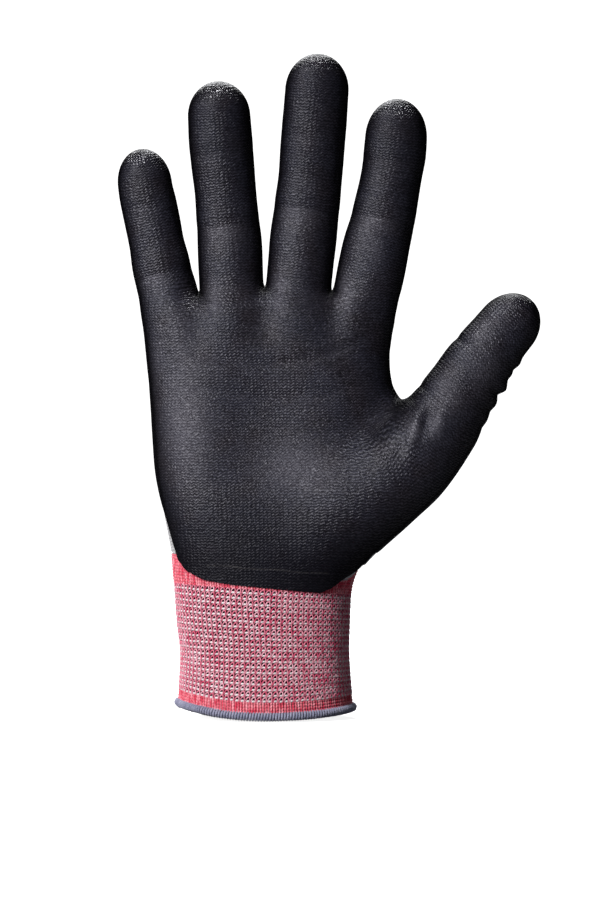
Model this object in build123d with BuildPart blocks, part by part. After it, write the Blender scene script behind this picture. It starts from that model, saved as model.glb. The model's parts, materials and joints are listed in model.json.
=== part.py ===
"""Right-hand knitted cut resistant glove with a dipped palm, held open as it sits on a hand.

The glove is a seamless knitted liner (finger stalls, hand, wrist band and rib cuff in one
piece of knitting), a foam coating dipped over the palm side and the fingertips, elastic
yarns laid into the cuff, and a thread overlocked round the hem.  Liner and coating are
divided at the flexion creases, because each finger stall moves in stages.

Frame: millimetres, +Z from the hem to the fingertips, palm towards -Y, thumb towards +X.
The origin is the centre of the wrist opening, in the plane the hem stands on.
"""
from build123d import *
from dataclasses import dataclass
import math
import os

os.makedirs("parts", exist_ok=True)

UP, RIGHT, BACK = Vector(0, 0, 1), Vector(1, 0, 0), Vector(0, 1, 0)

# ---------------------------------------------------------------- layers
LINER_T = 1.1            # knitted liner, wall thickness
CUFF_T = 1.5             # rib knit of the cuff, thicker than the liner
COAT_GAP = 0.08          # liner face to the inside of the coating
COAT_T = 0.5             # foam coating

# outer and inner face of each layer, as growth from the knit's outer face
LINER = (0.0, -LINER_T)
CUFF_WALL = (0.0, -CUFF_T)
COAT = (COAT_GAP + COAT_T, COAT_GAP)

# ---------------------------------------------------------------- joints
CLEAR = 0.25             # half gap at every flexion line
MARGIN = 0.8             # degrees kept free at each end of a joint's travel
PIVOT = 0.45             # a stall's axis lies this share of its half depth towards the palm
TIP_RATIO = 0.60         # a fingertip joint's travel, as a share of the joint below it

WRIST = Vector(-0.7, 0, 34.0)
WRIST_FLEX = (-30.0, 40.0)           # degrees, positive towards the palm
SIDE = Vector(-0.3, 0, 58.0)         # axis of the wrist's sideways bend, bottom of the hand
WRIST_SIDE = (-12.0, 12.0)           # degrees, positive towards +X


# ---------------------------------------------------------------- stalls
@dataclass
class Stall:
    stations: list                   # distance along it, x, y, z, half width
    dome: float                      # length of the rounded tip
    joints: tuple                    # flexion joints, distance along
    spread: tuple                    # sideways travel at the root, degrees
    flex: tuple                      # travel of the first two joints, positive to the palm
    sign: int                        # +1: positive spread leans to +X, -1: to -X
    ratio: tuple = (0.90, 0.86)      # half depth over half width, at the start and the tip
    root: float = 0.0                # distance along at which it leaves the hand
    pad: float = 0.0                 # turn of the pad about the stall, degrees


PALM_TOP = 157.0                     # finger crotches
FINGER_FLEX = ((-12.0, 72.0), (0.0, 82.0))

STALLS = {
    "little": Stall(
        stations=[(0.0, -36.2, 0.0, PALM_TOP, 10.6), (13.0, -39.0, -0.3, 169.6, 10.2),
                  (26.0, -41.5, -1.0, 182.4, 10.0), (40.0, -44.3, -2.2, 196.1, 9.6),
                  (53.9, -45.8, -3.8, 209.9, 9.4)],
        dome=12.5, ratio=(0.92, 0.88), joints=(8.0, 20.0, 34.5),
        spread=(-6.0, 12.0), flex=((-12.0, 68.0), (0.0, 78.0)), sign=1),
    "ring": Stall(
        stations=[(0.0, -12.4, 0.0, PALM_TOP, 11.4), (20.0, -13.2, -0.5, 177.0, 11.5),
                  (39.0, -14.8, -1.8, 195.9, 11.0), (58.0, -16.5, -3.9, 214.7, 11.2),
                  (78.0, -17.6, -6.6, 234.6, 10.6)],
        dome=12.5, joints=(9.0, 28.0, 53.0), spread=(-4.0, 4.5), flex=FINGER_FLEX, sign=1),
    "middle": Stall(
        stations=[(0.0, 12.2, 0.0, PALM_TOP, 11.6), (22.0, 14.3, -0.6, 178.9, 11.7),
                  (44.0, 16.8, -2.1, 200.7, 11.6), (66.0, 18.5, -4.6, 222.5, 11.4),
                  (88.3, 20.1, -7.8, 244.5, 11.0)],
        dome=13.0, joints=(9.0, 30.0, 58.0), spread=(-4.0, 4.5), flex=FINGER_FLEX, sign=-1),
    "index": Stall(
        stations=[(0.0, 37.6, 0.0, PALM_TOP, 11.8), (18.0, 41.2, -0.5, 174.6, 11.8),
                  (35.0, 45.0, -1.7, 191.1, 11.1), (53.0, 48.0, -3.6, 208.7, 11.0),
                  (72.6, 49.2, -6.3, 228.0, 10.4)],
        dome=14.0, joints=(9.0, 28.0, 50.0), spread=(-6.0, 10.0), flex=FINGER_FLEX, sign=-1),
    "thumb": Stall(
        stations=[(0.0, 60.0, -11.0, 101.5, 15.4), (15.0, 67.9, -12.6, 114.2, 13.6),
                  (32.0, 77.0, -14.2, 128.6, 12.2), (46.0, 85.4, -15.4, 139.7, 11.0),
                  (64.3, 97.2, -16.6, 153.6, 10.4)],
        dome=13.0, ratio=(0.95, 0.86), root=9.0, joints=(19.0, 38.0), pad=35.0,
        spread=(-15.0, 6.0), flex=((-12.0, 50.0), (-15.0, 60.0)), sign=1),
}
FINGERS = ("little", "ring", "middle", "index")      # from -X to +X

STALL_RUN_IN = 4.0                   # a stall's form starts this far below its first station
SECTION_STEP = 9.0                   # rough spacing of the sections along a stall
DOME_ANGLES = (24, 44, 60, 73, 83)   # degrees up the dome at which it has a section
STALL_DIP_EDGE = 0.25                # edge of the coating, share of half depth to the palm
TIP_DIP = 12.0                       # length of tip that is coated all round

# ---------------------------------------------------------------- hand
# height, edge at -X, edge at +X, palm side depth, back depth, squareness
HAND = [
    (50.0, -33.6, 32.8, 22.4, 22.0, 2.1), (62.0, -34.9, 36.5, 22.5, 21.5, 2.2),
    (75.0, -37.4, 40.5, 22.0, 20.0, 2.3), (90.0, -40.4, 43.5, 21.0, 18.0, 2.4),
    (105.0, -41.8, 45.0, 19.0, 16.5, 2.5), (120.0, -43.1, 46.0, 17.0, 15.5, 2.6),
    (135.0, -44.1, 46.4, 15.5, 14.5, 2.7), (148.0, -45.4, 47.8, 13.5, 13.0, 2.9),
    (160.0, -47.2, 49.8, 12.2, 11.8, 3.2),
]
OUTLINE_POINTS = 20                  # spline points round one outline of the hand

# root of the thumb in the hand: x, y, z, half width
THENAR = [(17.0, -5.0, 60.0, 10.5), (24.5, -8.0, 68.5, 14.5), (33.5, -10.0, 77.5, 17.0),
          (44.0, -10.8, 87.0, 17.2), (53.0, -11.0, 94.6, 16.4)]
THENAR_RUN_ON = (2.0, 8.0, 14.0)     # where it goes on along the thumb's own stations
THENAR_RATIO = 0.95                  # half depth over half width

HAND_EDGES = (-62.0, 56.0)           # ends in X of the profile under the finger roots
ROOT_CUT_TOP = 190.0                 # top of the cut over the hand
ROOT_CUT_Y = 40.0                    # its reach to either side of Y 0

# the cut for the thumb's mouth, measured from the thumb's root
MOUTH_OUT = 30.0                     # across, away from the hand
MOUTH_IN = 17.0                      # across, towards the hand
MOUTH_HEIGHT = 60.0                  # along the thumb
MOUTH_REACH = 30.0                   # to palm and to back

# lower edge of the dipped coating: x, z
DIP_EDGE = [(-60.0, 88.0), (-42.0, 84.0), (-39.5, 72.0), (-34.5, 60.0), (-22.0, 51.5),
            (0.0, 48.6), (21.0, 46.6), (33.0, 54.5), (38.0, 58.0), (44.0, 63.0), (90.0, 66.0)]
DIP_CUT_Z = 20.0                     # bottom of the cut under that edge
DIP_CUT_Y = 10.0                     # the cut starts here
DIP_CUT_DEPTH = 60.0                 # and runs this far towards the palm side
DIP_SIDE_Y = -3.0                    # the coating lies on the palm side of this

# ---------------------------------------------------------------- cuff
# height, centre x, half width, half depth of the knit's outer face
CUFF = [(-2.0, 0.2, 33.1, 23.8), (10.0, 0.0, 32.1, 23.0), (24.0, -0.2, 31.5, 22.3),
        (36.0, -0.7, 32.3, 22.2), (48.0, -0.7, 33.1, 22.3), (62.0, -0.2, 35.4, 22.6)]
CUFF_BOTTOM = 1.6                    # knit edge, inside the overlocked hem
BAND_Z = 49.5                        # where the patterned cuff changes to its plain top band
BAND_GAP = 0.1

ELASTIC_R = 0.32                     # covered elastic yarn
ELASTIC_GAP = 0.07                   # yarn to its groove
ELASTIC_ROWS = [5.2 + 4.15 * row for row in range(5)]    # every second pattern row
GROOVE_DEPTH = 0.85                  # into the knit from its inner face
GROOVE_OVERCUT = 0.6                 # the cut's reach inside that face

HEM_R = 1.75                         # overlocked roll, radius
HEM_Z = 1.45                         # height of the roll's centre; its foot is flat at Z 0
HEM_GAP = 0.1                        # roll to the knit edge it wraps


# ---------------------------------------------------------------- stations and frames
def smooth(rows, t):
    """Every column of rows at t, a cubic through the rows (the first column is t)."""
    last = len(rows) - 1
    i = 0
    while i < last - 1 and t > rows[i + 1][0]:
        i += 1

    def slope(k, column):
        low, high = rows[max(k - 1, 0)], rows[min(k + 1, last)]
        return (high[column] - low[column]) / (high[0] - low[0])

    step = rows[i + 1][0] - rows[i][0]
    u = (t - rows[i][0]) / step
    values = []
    for column in range(1, len(rows[0])):
        if u < 0 or u > 1:                       # straight on past either end
            k = 0 if u < 0 else last
            values.append(rows[k][column] + slope(k, column) * (t - rows[k][0]))
            continue
        start, end = rows[i][column], rows[i + 1][column]
        start_slope, end_slope = slope(i, column) * step, slope(i + 1, column) * step
        values.append((2 * u**3 - 3 * u**2 + 1) * start + (u**3 - 2 * u**2 + u) * start_slope
                      + (-2 * u**3 + 3 * u**2) * end + (u**3 - u**2) * end_slope)
    return values


def frame_at(stall, t):
    """Centre, along, across and palmar directions of a stall at t, before its pad is turned."""
    rows = stall.stations
    ahead, behind = Vector(*smooth(rows, t + 0.5)[:3]), Vector(*smooth(rows, t - 0.5)[:3])
    along = (ahead - behind).normalized()
    across = BACK.cross(along).normalized()
    return Vector(*smooth(rows, t)[:3]), along, across, across.cross(along).normalized()


def pad_frame(stall, t):
    """The same, turned so that the last direction is the way the pad faces."""
    centre, along, across, palmar = frame_at(stall, t)
    turn = math.radians(stall.pad)
    return (centre, along, across * math.cos(turn) + palmar * math.sin(turn),
            palmar * math.cos(turn) - across * math.sin(turn))


def half_sizes(stall, t):
    """Half width and half depth of a stall at t."""
    width = smooth(stall.stations, t)[3]
    start, end = stall.ratio
    share = min(max(t / stall.stations[-1][0], 0), 1)
    return width, width * (start + (end - start) * share)


# ---------------------------------------------------------------- cutting planes
def tilted(point, along, axis, degrees, lift):
    """Plane through point moved by lift along, facing along turned by degrees about axis."""
    angle = math.radians(degrees)
    k = axis.normalized()
    normal = (along * math.cos(angle) + k.cross(along) * math.sin(angle)
              + k * (k.dot(along) * (1 - math.cos(angle))))
    return Plane(origin=point + along * lift, z_dir=normal)


def below(point, along, axis, travel):
    """Planes over a lower segment; positive travel leans towards axis x along."""
    low, high = travel
    return [(tilted(point, along, axis, high / 2 + MARGIN, -CLEAR), Keep.BOTTOM),
            (tilted(point, along, axis, low / 2 - MARGIN, -CLEAR), Keep.BOTTOM)]


def above(point, along, axis, travel):
    """Planes under the upper segment of the same joint."""
    low, high = travel
    return [(tilted(point, along, axis, -high / 2 - MARGIN, CLEAR), Keep.TOP),
            (tilted(point, along, axis, -low / 2 + MARGIN, CLEAR), Keep.TOP)]


BELOW_WRIST = below(WRIST, UP, RIGHT, WRIST_FLEX)
ABOVE_WRIST = above(WRIST, UP, RIGHT, WRIST_FLEX)
BELOW_SIDE = below(SIDE, UP, BACK, WRIST_SIDE)
ABOVE_SIDE = above(SIDE, UP, BACK, WRIST_SIDE)


def trimmed(solid, planes):
    with BuildPart() as piece:
        add(solid)
        for plane, keep in planes:
            split(bisect_by=plane, keep=keep)
    return piece.part


def save(part, name):
    part.label = name
    export_step(part, f"parts/{name}.step")


# ---------------------------------------------------------------- forms
def stall_form(stall, grow):
    """A whole stall as one solid, its surface grown by grow; the tip is a dome."""
    length = stall.stations[-1][0]
    end = length - stall.dome
    steps = max(4, round((end + STALL_RUN_IN) / SECTION_STEP))
    with BuildPart() as form:
        for i in range(steps + 1):
            t = -STALL_RUN_IN + (end + STALL_RUN_IN) * i / steps
            centre, along, across, _ = frame_at(stall, t)
            width, depth = half_sizes(stall, t)
            with BuildSketch(Plane(origin=centre, x_dir=across, z_dir=along)):
                Ellipse(width + grow, depth + grow)
        for angle in DOME_ANGLES:
            t = end + (stall.dome + grow) * math.sin(math.radians(angle))
            shrink = math.cos(math.radians(angle))
            centre, along, across, _ = frame_at(stall, t)
            width, depth = half_sizes(stall, min(t, length))
            with BuildSketch(Plane(origin=centre, x_dir=across, z_dir=along)):
                Ellipse((width + grow) * shrink, (depth + grow) * shrink)
        loft()
    return form.part


def hand_outline(row, grow):
    """Points of a squared ellipse, with its own depth to the palm and to the back."""
    _, left, right, palm, back, power = row
    middle, half_width = (left + right) / 2, (right - left) / 2 + grow
    points = []
    for i in range(OUTLINE_POINTS):
        angle = 2 * math.pi * (i + 0.5) / OUTLINE_POINTS
        c, s = math.cos(angle), math.sin(angle)
        depth = (back if s > 0 else palm) + grow
        points.append((middle + half_width * math.copysign(abs(c) ** (2 / power), c),
                       depth * math.copysign(abs(s) ** (2 / power), s)))
    return points


def hand_form(grow):
    """The hand with the root of the thumb as one solid, its ends still uncut."""
    thumb = STALLS["thumb"].stations
    rows = THENAR + [tuple(smooth(thumb, t)) for t in THENAR_RUN_ON]
    with BuildPart() as form:
        for row in HAND:
            with BuildSketch(Plane.XY.offset(row[0])):
                with BuildLine():
                    Spline(*hand_outline(row, grow), periodic=True)
                make_face()
        loft()
        with BuildPart(mode=Mode.PRIVATE) as root:
            for i, (x, y, z, width) in enumerate(rows):
                behind, ahead = rows[max(i - 1, 0)], rows[min(i + 1, len(rows) - 1)]
                along = (Vector(*ahead[:3]) - Vector(*behind[:3])).normalized()
                across = BACK.cross(along).normalized()
                with BuildSketch(Plane(origin=(x, y, z), x_dir=across, z_dir=along)):
                    Ellipse(width + grow, width * THENAR_RATIO + grow)
            loft()
        add(root.part)
    return form.part


def cuff_form(grow):
    with BuildPart() as form:
        for z, centre_x, width, depth in CUFF:
            with BuildSketch(Plane(origin=(centre_x, 0, z))):
                Ellipse(width + grow, depth + grow)
        loft()
    return form.part


def shell(layer, form, *form_args):
    """The wall between a form grown to the layer's outer face and to its inner face."""
    outer, inner = [form(*form_args, grow) for grow in layer]
    with BuildPart() as skin:
        add(outer)
        add(inner, mode=Mode.SUBTRACT)
    return skin.part


# ---------------------------------------------------------------- cuff, elastic yarns, hem
def cuff_ring(z, inset, radius):
    """A round cord following the cuff at z, inset from the knit's outer face."""
    centre_x, width, depth = smooth(CUFF, z)
    half_x, half_y = width - inset, depth - inset
    with BuildPart() as ring:
        with BuildLine(Plane(origin=(centre_x, 0, z))) as path:
            EllipticalCenterArc((0, 0), half_x, half_y, start_angle=0, arc_size=180)
            EllipticalCenterArc((0, 0), half_x, half_y, start_angle=180, arc_size=180)
        with BuildSketch(Plane(origin=(centre_x + half_x, 0, z), x_dir=(1, 0, 0),
                               z_dir=(0, 1, 0))):
            Circle(radius)
        sweep(path=path.wire())
    return ring.part


def cuff_knit(knitting):
    """The cuff below the wrist, with one inside groove to a yarn."""
    outer_inset = CUFF_T - GROOVE_DEPTH
    inner_inset = CUFF_T + GROOVE_OVERCUT
    half_height = ELASTIC_R + ELASTIC_GAP
    with BuildPart() as knit:
        add(trimmed(knitting, [(Plane.XY.offset(CUFF_BOTTOM), Keep.TOP)] + BELOW_WRIST))
        for z in ELASTIC_ROWS:
            centre_x, width, depth = smooth(CUFF, z)
            with BuildSketch(Plane(origin=(centre_x, 0, z - half_height))):
                Ellipse(width - outer_inset, depth - outer_inset)
                Ellipse(width - inner_inset, depth - inner_inset, mode=Mode.SUBTRACT)
            extrude(amount=2 * half_height, mode=Mode.SUBTRACT)
    return knit.part


def cuff_hem():
    """The roll round the knit edge, hollowed where the knit runs into it."""
    room = shell((HEM_GAP, -CUFF_T - HEM_GAP), cuff_form)
    with BuildPart() as hem:
        add(cuff_ring(HEM_Z, CUFF_T / 2, HEM_R))
        split(bisect_by=Plane.XY, keep=Keep.TOP)
        add(trimmed(room, [(Plane.XY.offset(CUFF_BOTTOM - HEM_GAP), Keep.TOP)]),
            mode=Mode.SUBTRACT)
    return hem.part


cuff_knitting = shell(CUFF_WALL, cuff_form)
save(cuff_knit(cuff_knitting), "cuff_knit")
for number, z in enumerate(ELASTIC_ROWS, 1):
    yarn_inset = CUFF_T - GROOVE_DEPTH + ELASTIC_R + ELASTIC_GAP
    save(cuff_ring(z, yarn_inset, ELASTIC_R), f"cuff_elastic_{number}")
save(cuff_hem(), "cuff_hem")
save(trimmed(cuff_knitting, ABOVE_WRIST + [(Plane.XY.offset(BAND_Z), Keep.BOTTOM)]),
     "cuff_upper_knit")
save(trimmed(cuff_knitting, [(Plane.XY.offset(BAND_Z + BAND_GAP), Keep.TOP)] + BELOW_SIDE),
     "cuff_top_band")


# ---------------------------------------------------------------- hand
def finger_roots():
    """Profile over the hand: a peak at every finger's root, falling away for its spread."""
    centres = [STALLS[name].stations[0][1] for name in FINGERS]
    crotches = [(a + b) / 2 for a, b in zip(centres, centres[1:])]
    edges = [HAND_EDGES[0], *crotches, HAND_EDGES[1]]
    top = PALM_TOP - CLEAR
    points = []
    for i, name in enumerate(FINGERS):
        low, high = STALLS[name].spread
        to_right, to_left = (high, -low) if STALLS[name].sign > 0 else (-low, high)
        for x, travel in ((edges[i], to_left), (centres[i], 0.0), (edges[i + 1], to_right)):
            z = top - abs(x - centres[i]) * math.tan(math.radians(travel / 2 + MARGIN))
            # neighbours that fall equally far share their crotch point
            if not points or abs(points[-1][0] - x) + abs(points[-1][1] - z) > 1e-3:
                points.append((x, z))
    return points


def hand_trim(hand_shell):
    """Cut the hand free of the cuff, the fingers and the thumb."""
    thumb = STALLS["thumb"]
    centre, _, across, palmar = frame_at(thumb, thumb.root)
    low, high = thumb.spread
    slope_in = math.tan(math.radians(-low / 2 + MARGIN))
    slope_out = math.tan(math.radians(high / 2 + MARGIN))
    roots = finger_roots()
    with BuildPart() as piece:
        add(trimmed(hand_shell, ABOVE_SIDE))
        with BuildSketch(Plane.XZ.offset(ROOT_CUT_Y)):
            with BuildLine():
                Polyline(*roots, (roots[-1][0], ROOT_CUT_TOP), (roots[0][0], ROOT_CUT_TOP),
                         roots[0])
            make_face()
        extrude(amount=-2 * ROOT_CUT_Y, mode=Mode.SUBTRACT)
        with BuildSketch(Plane(origin=centre - palmar * MOUTH_REACH, x_dir=across,
                               z_dir=palmar)):
            with BuildLine():                    # drawn across, along
                Polyline((0, -CLEAR), (MOUTH_OUT, -CLEAR - MOUTH_OUT * slope_out),
                         (MOUTH_OUT, MOUTH_HEIGHT), (-MOUTH_IN, MOUTH_HEIGHT),
                         (-MOUTH_IN, -CLEAR - MOUTH_IN * slope_in), close=True)
            make_face()
        extrude(amount=2 * MOUTH_REACH, mode=Mode.SUBTRACT)
    return piece.part


def dipped(coating):
    """The palm side of a coating, down to the edge of the dip."""
    with BuildPart() as piece:
        add(coating)
        split(bisect_by=Plane(origin=(0, DIP_SIDE_Y, 0), z_dir=(0, -1, 0)), keep=Keep.TOP)
        with BuildSketch(Plane.XZ.offset(-DIP_CUT_Y)):
            with BuildLine():
                Polyline(*DIP_EDGE, (DIP_EDGE[-1][0], DIP_CUT_Z), (DIP_EDGE[0][0], DIP_CUT_Z),
                         close=True)
            make_face()
        extrude(amount=DIP_CUT_DEPTH, mode=Mode.SUBTRACT)
    return piece.part


save(hand_trim(shell(LINER, hand_form)), "liner_hand")
save(dipped(hand_trim(shell(COAT, hand_form))), "coat_hand")
# the part of the coating that runs down onto the cuff
save(dipped(trimmed(shell(COAT, cuff_form), BELOW_SIDE + ABOVE_WRIST)), "coat_tongue")


# ---------------------------------------------------------------- finger and thumb stalls
def stall_cuts(name, stall):
    """The planes that bound each region of a stall, from the root up."""
    centre, along, _, palmar = frame_at(stall, stall.root)
    if name != "thumb":
        along, palmar = UP, -BACK
    cuts = [above(centre, along, palmar * -stall.sign, stall.spread)]
    tip_flex = (0.0, stall.flex[1][1] * TIP_RATIO)
    for t, travel in zip(stall.joints, (*stall.flex, tip_flex)):
        centre, along, across, palmar = pad_frame(stall, t)
        pivot = centre + palmar * (half_sizes(stall, t)[1] * PIVOT)
        cuts[-1] += below(pivot, along, across, travel)
        cuts.append(above(pivot, along, across, travel))
    return cuts


def stall_coat(stall, coat, planes, start, end, is_tip):
    """Coating on the pad side of the region from start to end; it wraps right round the tip."""
    centre, _, _, palmar = pad_frame(stall, (start + end) / 2)
    edge = centre + palmar * (STALL_DIP_EDGE * half_sizes(stall, start)[1])
    with BuildPart() as skin:
        add(trimmed(coat, planes + [(Plane(origin=edge, z_dir=palmar), Keep.TOP)]))
        if is_tip:
            centre, along, _, _ = frame_at(stall, end - TIP_DIP)
            add(trimmed(coat, [(Plane(origin=centre, z_dir=along), Keep.TOP)]))
    return skin.part


for name, stall in STALLS.items():
    liner = shell(LINER, stall_form, stall)
    coat = shell(COAT, stall_form, stall)
    regions = ["root", "proximal", "middle", "distal"]
    if name == "thumb":
        regions.remove("middle")
    stops = [stall.root, *stall.joints, stall.stations[-1][0]]
    for region, planes, start, end in zip(regions, stall_cuts(name, stall), stops, stops[1:]):
        save(trimmed(liner, planes), f"liner_{name}_{region}")
        save(stall_coat(stall, coat, planes, start, end, is_tip=region == "distal"),
             f"coat_{name}_{region}")
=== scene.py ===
"""A knitted glove with a dark foam coating on its palm side, upright with the fingers up.

Lengths are millimetres until they reach Blender. +Z runs from the cuff's hem at 0 to the
fingertips, the palm faces -Y and the thumb is on the +X side. Solid shapes are distance
fields, negative inside. The surface drawn from them is shared by the knitted liner and the
coating, which are cut into regions; only the hand's own region rides on a frame body.
"""
import json
import math

import bpy
import numpy as np
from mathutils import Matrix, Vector


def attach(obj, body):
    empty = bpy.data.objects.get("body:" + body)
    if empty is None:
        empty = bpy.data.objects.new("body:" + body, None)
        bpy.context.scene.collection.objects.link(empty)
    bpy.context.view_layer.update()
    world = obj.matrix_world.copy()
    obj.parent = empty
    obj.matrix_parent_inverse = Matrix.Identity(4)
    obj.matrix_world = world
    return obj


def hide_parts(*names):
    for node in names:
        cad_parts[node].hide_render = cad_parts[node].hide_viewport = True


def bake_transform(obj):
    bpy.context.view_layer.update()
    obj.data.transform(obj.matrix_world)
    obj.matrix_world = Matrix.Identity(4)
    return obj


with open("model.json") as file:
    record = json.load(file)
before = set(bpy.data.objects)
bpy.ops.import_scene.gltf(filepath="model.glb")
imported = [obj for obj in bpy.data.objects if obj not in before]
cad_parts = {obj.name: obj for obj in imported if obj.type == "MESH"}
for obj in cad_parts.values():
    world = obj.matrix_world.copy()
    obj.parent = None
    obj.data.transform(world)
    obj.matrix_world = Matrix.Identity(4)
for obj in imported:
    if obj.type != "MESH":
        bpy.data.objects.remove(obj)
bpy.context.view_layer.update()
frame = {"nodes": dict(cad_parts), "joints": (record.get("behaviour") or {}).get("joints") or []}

MM = 0.001
TURN = 2 * math.pi
JOINT = {joint["name"]: joint for joint in frame["joints"]}

# ------------------------------------------------------------------ driving dimensions
GRID = 1.0                     # spacing of the field's grid
Z_LOW = 42.0                   # the fabric's lowest slice
Z_WRIST, Z_HAND = 50.0, 66.0   # upper ends of the two wrist zones
LINER_T = 1.15                 # liner thickness
COAT_T, COAT_EDGE_T = 0.48, 0.12   # coating thickness, inside and at its edge
THUMB_CUTS = (13.0, 17.6, 29.0)    # distances along the thumb where the regions meet
WRIST_FLEX = ((-0.5, 0, 24.5), (-0.5, 0, 49.5))   # bend from cuff to wrist: start, end

COLS = 86                      # stitch columns round the cuff
ROW_0, ROW = 7.35, 2.06        # first patterned row, and the rows' pitch
ROWS = 20
CUFF_SPLIT = 24.0              # the cuff's lower pieces, on the cuff's body, end here; those above are left in place
ROWS_LOW = int((CUFF_SPLIT - ROW_0) / ROW)
ROWS_TOP = ROW_0 + ROW * ROWS
BAND_TOP = 58.6                # top of the red band under the hand
CUFF_HALF = 32.5               # half width that the cuff's lean and rise are measured by
ROW_LEAN = 0.066               # drop per millimetre towards +X by the top of the cuff

# rows: distance along, x, y, z, half width
# dome: length of the rounded tip; ratio: depth over width at the root and at the tip
# creases: distance, strength; crotch: height beside the root; cuts: where regions meet
FINGERS = {
    "little": dict(
        rows=[(-26, -30.6, 0.6, 131.5, 10.6), (0, -36.0, 0, 157, 10.6),
              (6.5, -37.7, -0.1, 163.3, 10.4), (13, -39.0, -0.3, 169.6, 10.2),
              (19.5, -40.3, -0.6, 176.0, 9.75), (26, -41.5, -1.0, 182.4, 9.85),
              (33, -42.9, -1.6, 189.2, 9.9), (40, -44.3, -2.2, 196.1, 9.6),
              (53.9, -45.8, -3.8, 209.9, 9.4)],
        dome=12.5, ratio=(0.92, 0.86), creases=((7.5, 0.75), (33.5, 0.45)),
        crotch=157.5, cuts=(3.8, 14.0, 26.8)),
    "ring": dict(
        rows=[(-28, -11.6, 0.6, 129.0, 12.0), (0, -12.4, 0, 157, 11.5),
              (10, -12.8, -0.2, 167, 11.5), (20, -13.2, -0.5, 177, 11.5),
              (29, -14.0, -1.1, 186, 11.05), (39, -14.8, -1.8, 195.9, 10.95),
              (48, -15.7, -2.8, 205, 11.25), (58, -16.5, -3.9, 214.7, 11.3),
              (78, -17.6, -6.6, 234.6, 10.7)],
        dome=12.5, ratio=(0.90, 0.85), creases=((25.5, 0.85), (52.5, 0.4)),
        crotch=159.2, cuts=(6.4, 17.6, 40.0)),
    "middle": dict(
        rows=[(-28, 10.2, 0.6, 129.0, 12.0), (0, 12.2, 0, 157, 11.7),
              (11, 13.2, -0.2, 168, 11.75), (22, 14.3, -0.6, 178.9, 11.9),
              (33, 15.6, -1.2, 189.8, 11.6), (44, 16.8, -2.1, 200.7, 11.35),
              (55, 17.6, -3.2, 211.6, 11.5), (66, 18.5, -4.6, 222.5, 11.4),
              (88.3, 20.1, -7.8, 244.5, 11.1)],
        dome=13.0, ratio=(0.90, 0.85), creases=((31.5, 0.85), (59.5, 0.4)),
        crotch=159.2, cuts=(6.4, 18.2, 43.5)),
    "index": dict(
        rows=[(-28, 30.6, 0.6, 129.5, 11.6), (0, 37.5, 0, 157, 11.9),
              (9, 39.4, -0.2, 165.8, 12.1), (18, 41.2, -0.5, 174.6, 11.9),
              (26, 43.2, -1.0, 182.4, 11.5), (35, 45.0, -1.7, 191.1, 11.1),
              (44, 46.7, -2.6, 200, 10.85), (53, 48.0, -3.6, 208.7, 11.1),
              (72.6, 49.2, -6.3, 228, 10.5)],
        dome=14.0, ratio=(0.90, 0.85), creases=((28.5, 0.8), (50.5, 0.4)),
        crotch=158.2, cuts=(5.6, 16.8, 38.6)),
}
# x, y, z, half width: up the muscle under the thumb, then along the thumb itself
THUMB_STATIONS = np.array([
    (17.0, -5.0, 60.0, 10.5), (24.5, -8.0, 68.5, 14.5), (33.5, -10.0, 77.5, 17.0),
    (44.0, -10.8, 87.0, 17.2), (53.0, -11.0, 94.6, 16.4),
    (64.0, -11.8, 107.9, 14.7), (67.9, -12.6, 114.2, 13.6), (72.5, -13.4, 121.4, 12.8),
    (77.0, -14.2, 128.6, 12.1), (85.4, -15.4, 139.7, 11.0), (97.2, -16.6, 153.6, 10.5)])
THUMB_MARK = (5, 7.5)          # this station lies at this distance along the thumb
# height, -X edge, +X edge, palm side depth, back depth, squareness
HAND_ROWS = [
    (38, -33.0, 31.8, 22.3, 22.2, 2.03), (50, -33.9, 32.5, 22.3, 22.0, 2.1),
    (56.4, -34.5, 35.2, 22.5, 21.8, 2.15), (62.0, -34.9, 37.5, 22.5, 21.5, 2.2),
    (75.0, -37.4, 41.0, 22.3, 20.0, 2.3), (90.0, -40.3, 43.7, 21.2, 18.0, 2.3),
    (105.0, -41.5, 46.0, 19.2, 16.5, 2.35), (112.0, -41.9, 48.4, 18.2, 16.0, 2.4),
    (118.0, -42.3, 48.6, 17.5, 15.6, 2.4), (124.0, -42.7, 46.6, 16.8, 15.2, 2.45),
    (135.0, -43.3, 45.4, 15.5, 14.5, 2.6), (146.0, -43.6, 46.0, 14.0, 13.2, 2.8),
    (160.0, -45.4, 48.6, 12.4, 11.8, 3.1)]
# height, middle x, half width, palm side depth, back depth, squareness
CUFF_ROWS = [
    (-2.0, 0.2, 33.1, 23.8, 23.8, 2.0), (10.0, 0.0, 32.1, 23.0, 23.0, 2.0),
    (24.0, -0.2, 31.5, 22.3, 22.3, 2.0), (36.0, -0.7, 32.3, 22.2, 22.2, 2.0),
    (48.0, -0.7, 33.1, 22.3, 22.1, 2.07), (56.4, 0.35, 34.85, 22.5, 21.8, 2.15),
    (64.0, 1.5, 36.5, 22.5, 21.4, 2.22)]
# the coating's lower edge on the palm side, then up along each side of the hand: x, z
DIP_EDGE = np.array([
    (-60.0, 96.0), (-42.0, 87.0), (-39.2, 82.0), (-36.9, 75.5), (-35.0, 69.0), (-33.3, 63.0),
    (-31.8, 58.4), (-28.8, 54.6), (-22.2, 51.2), (-12.0, 49.6), (0.0, 48.4), (12.0, 47.2),
    (20.4, 46.5), (24.5, 48.2), (29.0, 51.6), (33.4, 54.3), (37.2, 57.6), (39.8, 60.8),
    (60.0, 66.0), (95.0, 72.0)])
# top of the hand's own body between the finger roots: x, z
TOP_EDGE = np.array([(-60, 153.5), (-24.7, 154.6), (-12, 156.4), (-0.2, 157.4), (12, 156.6),
                     (24.8, 155.6), (60, 154.5)])

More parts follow.
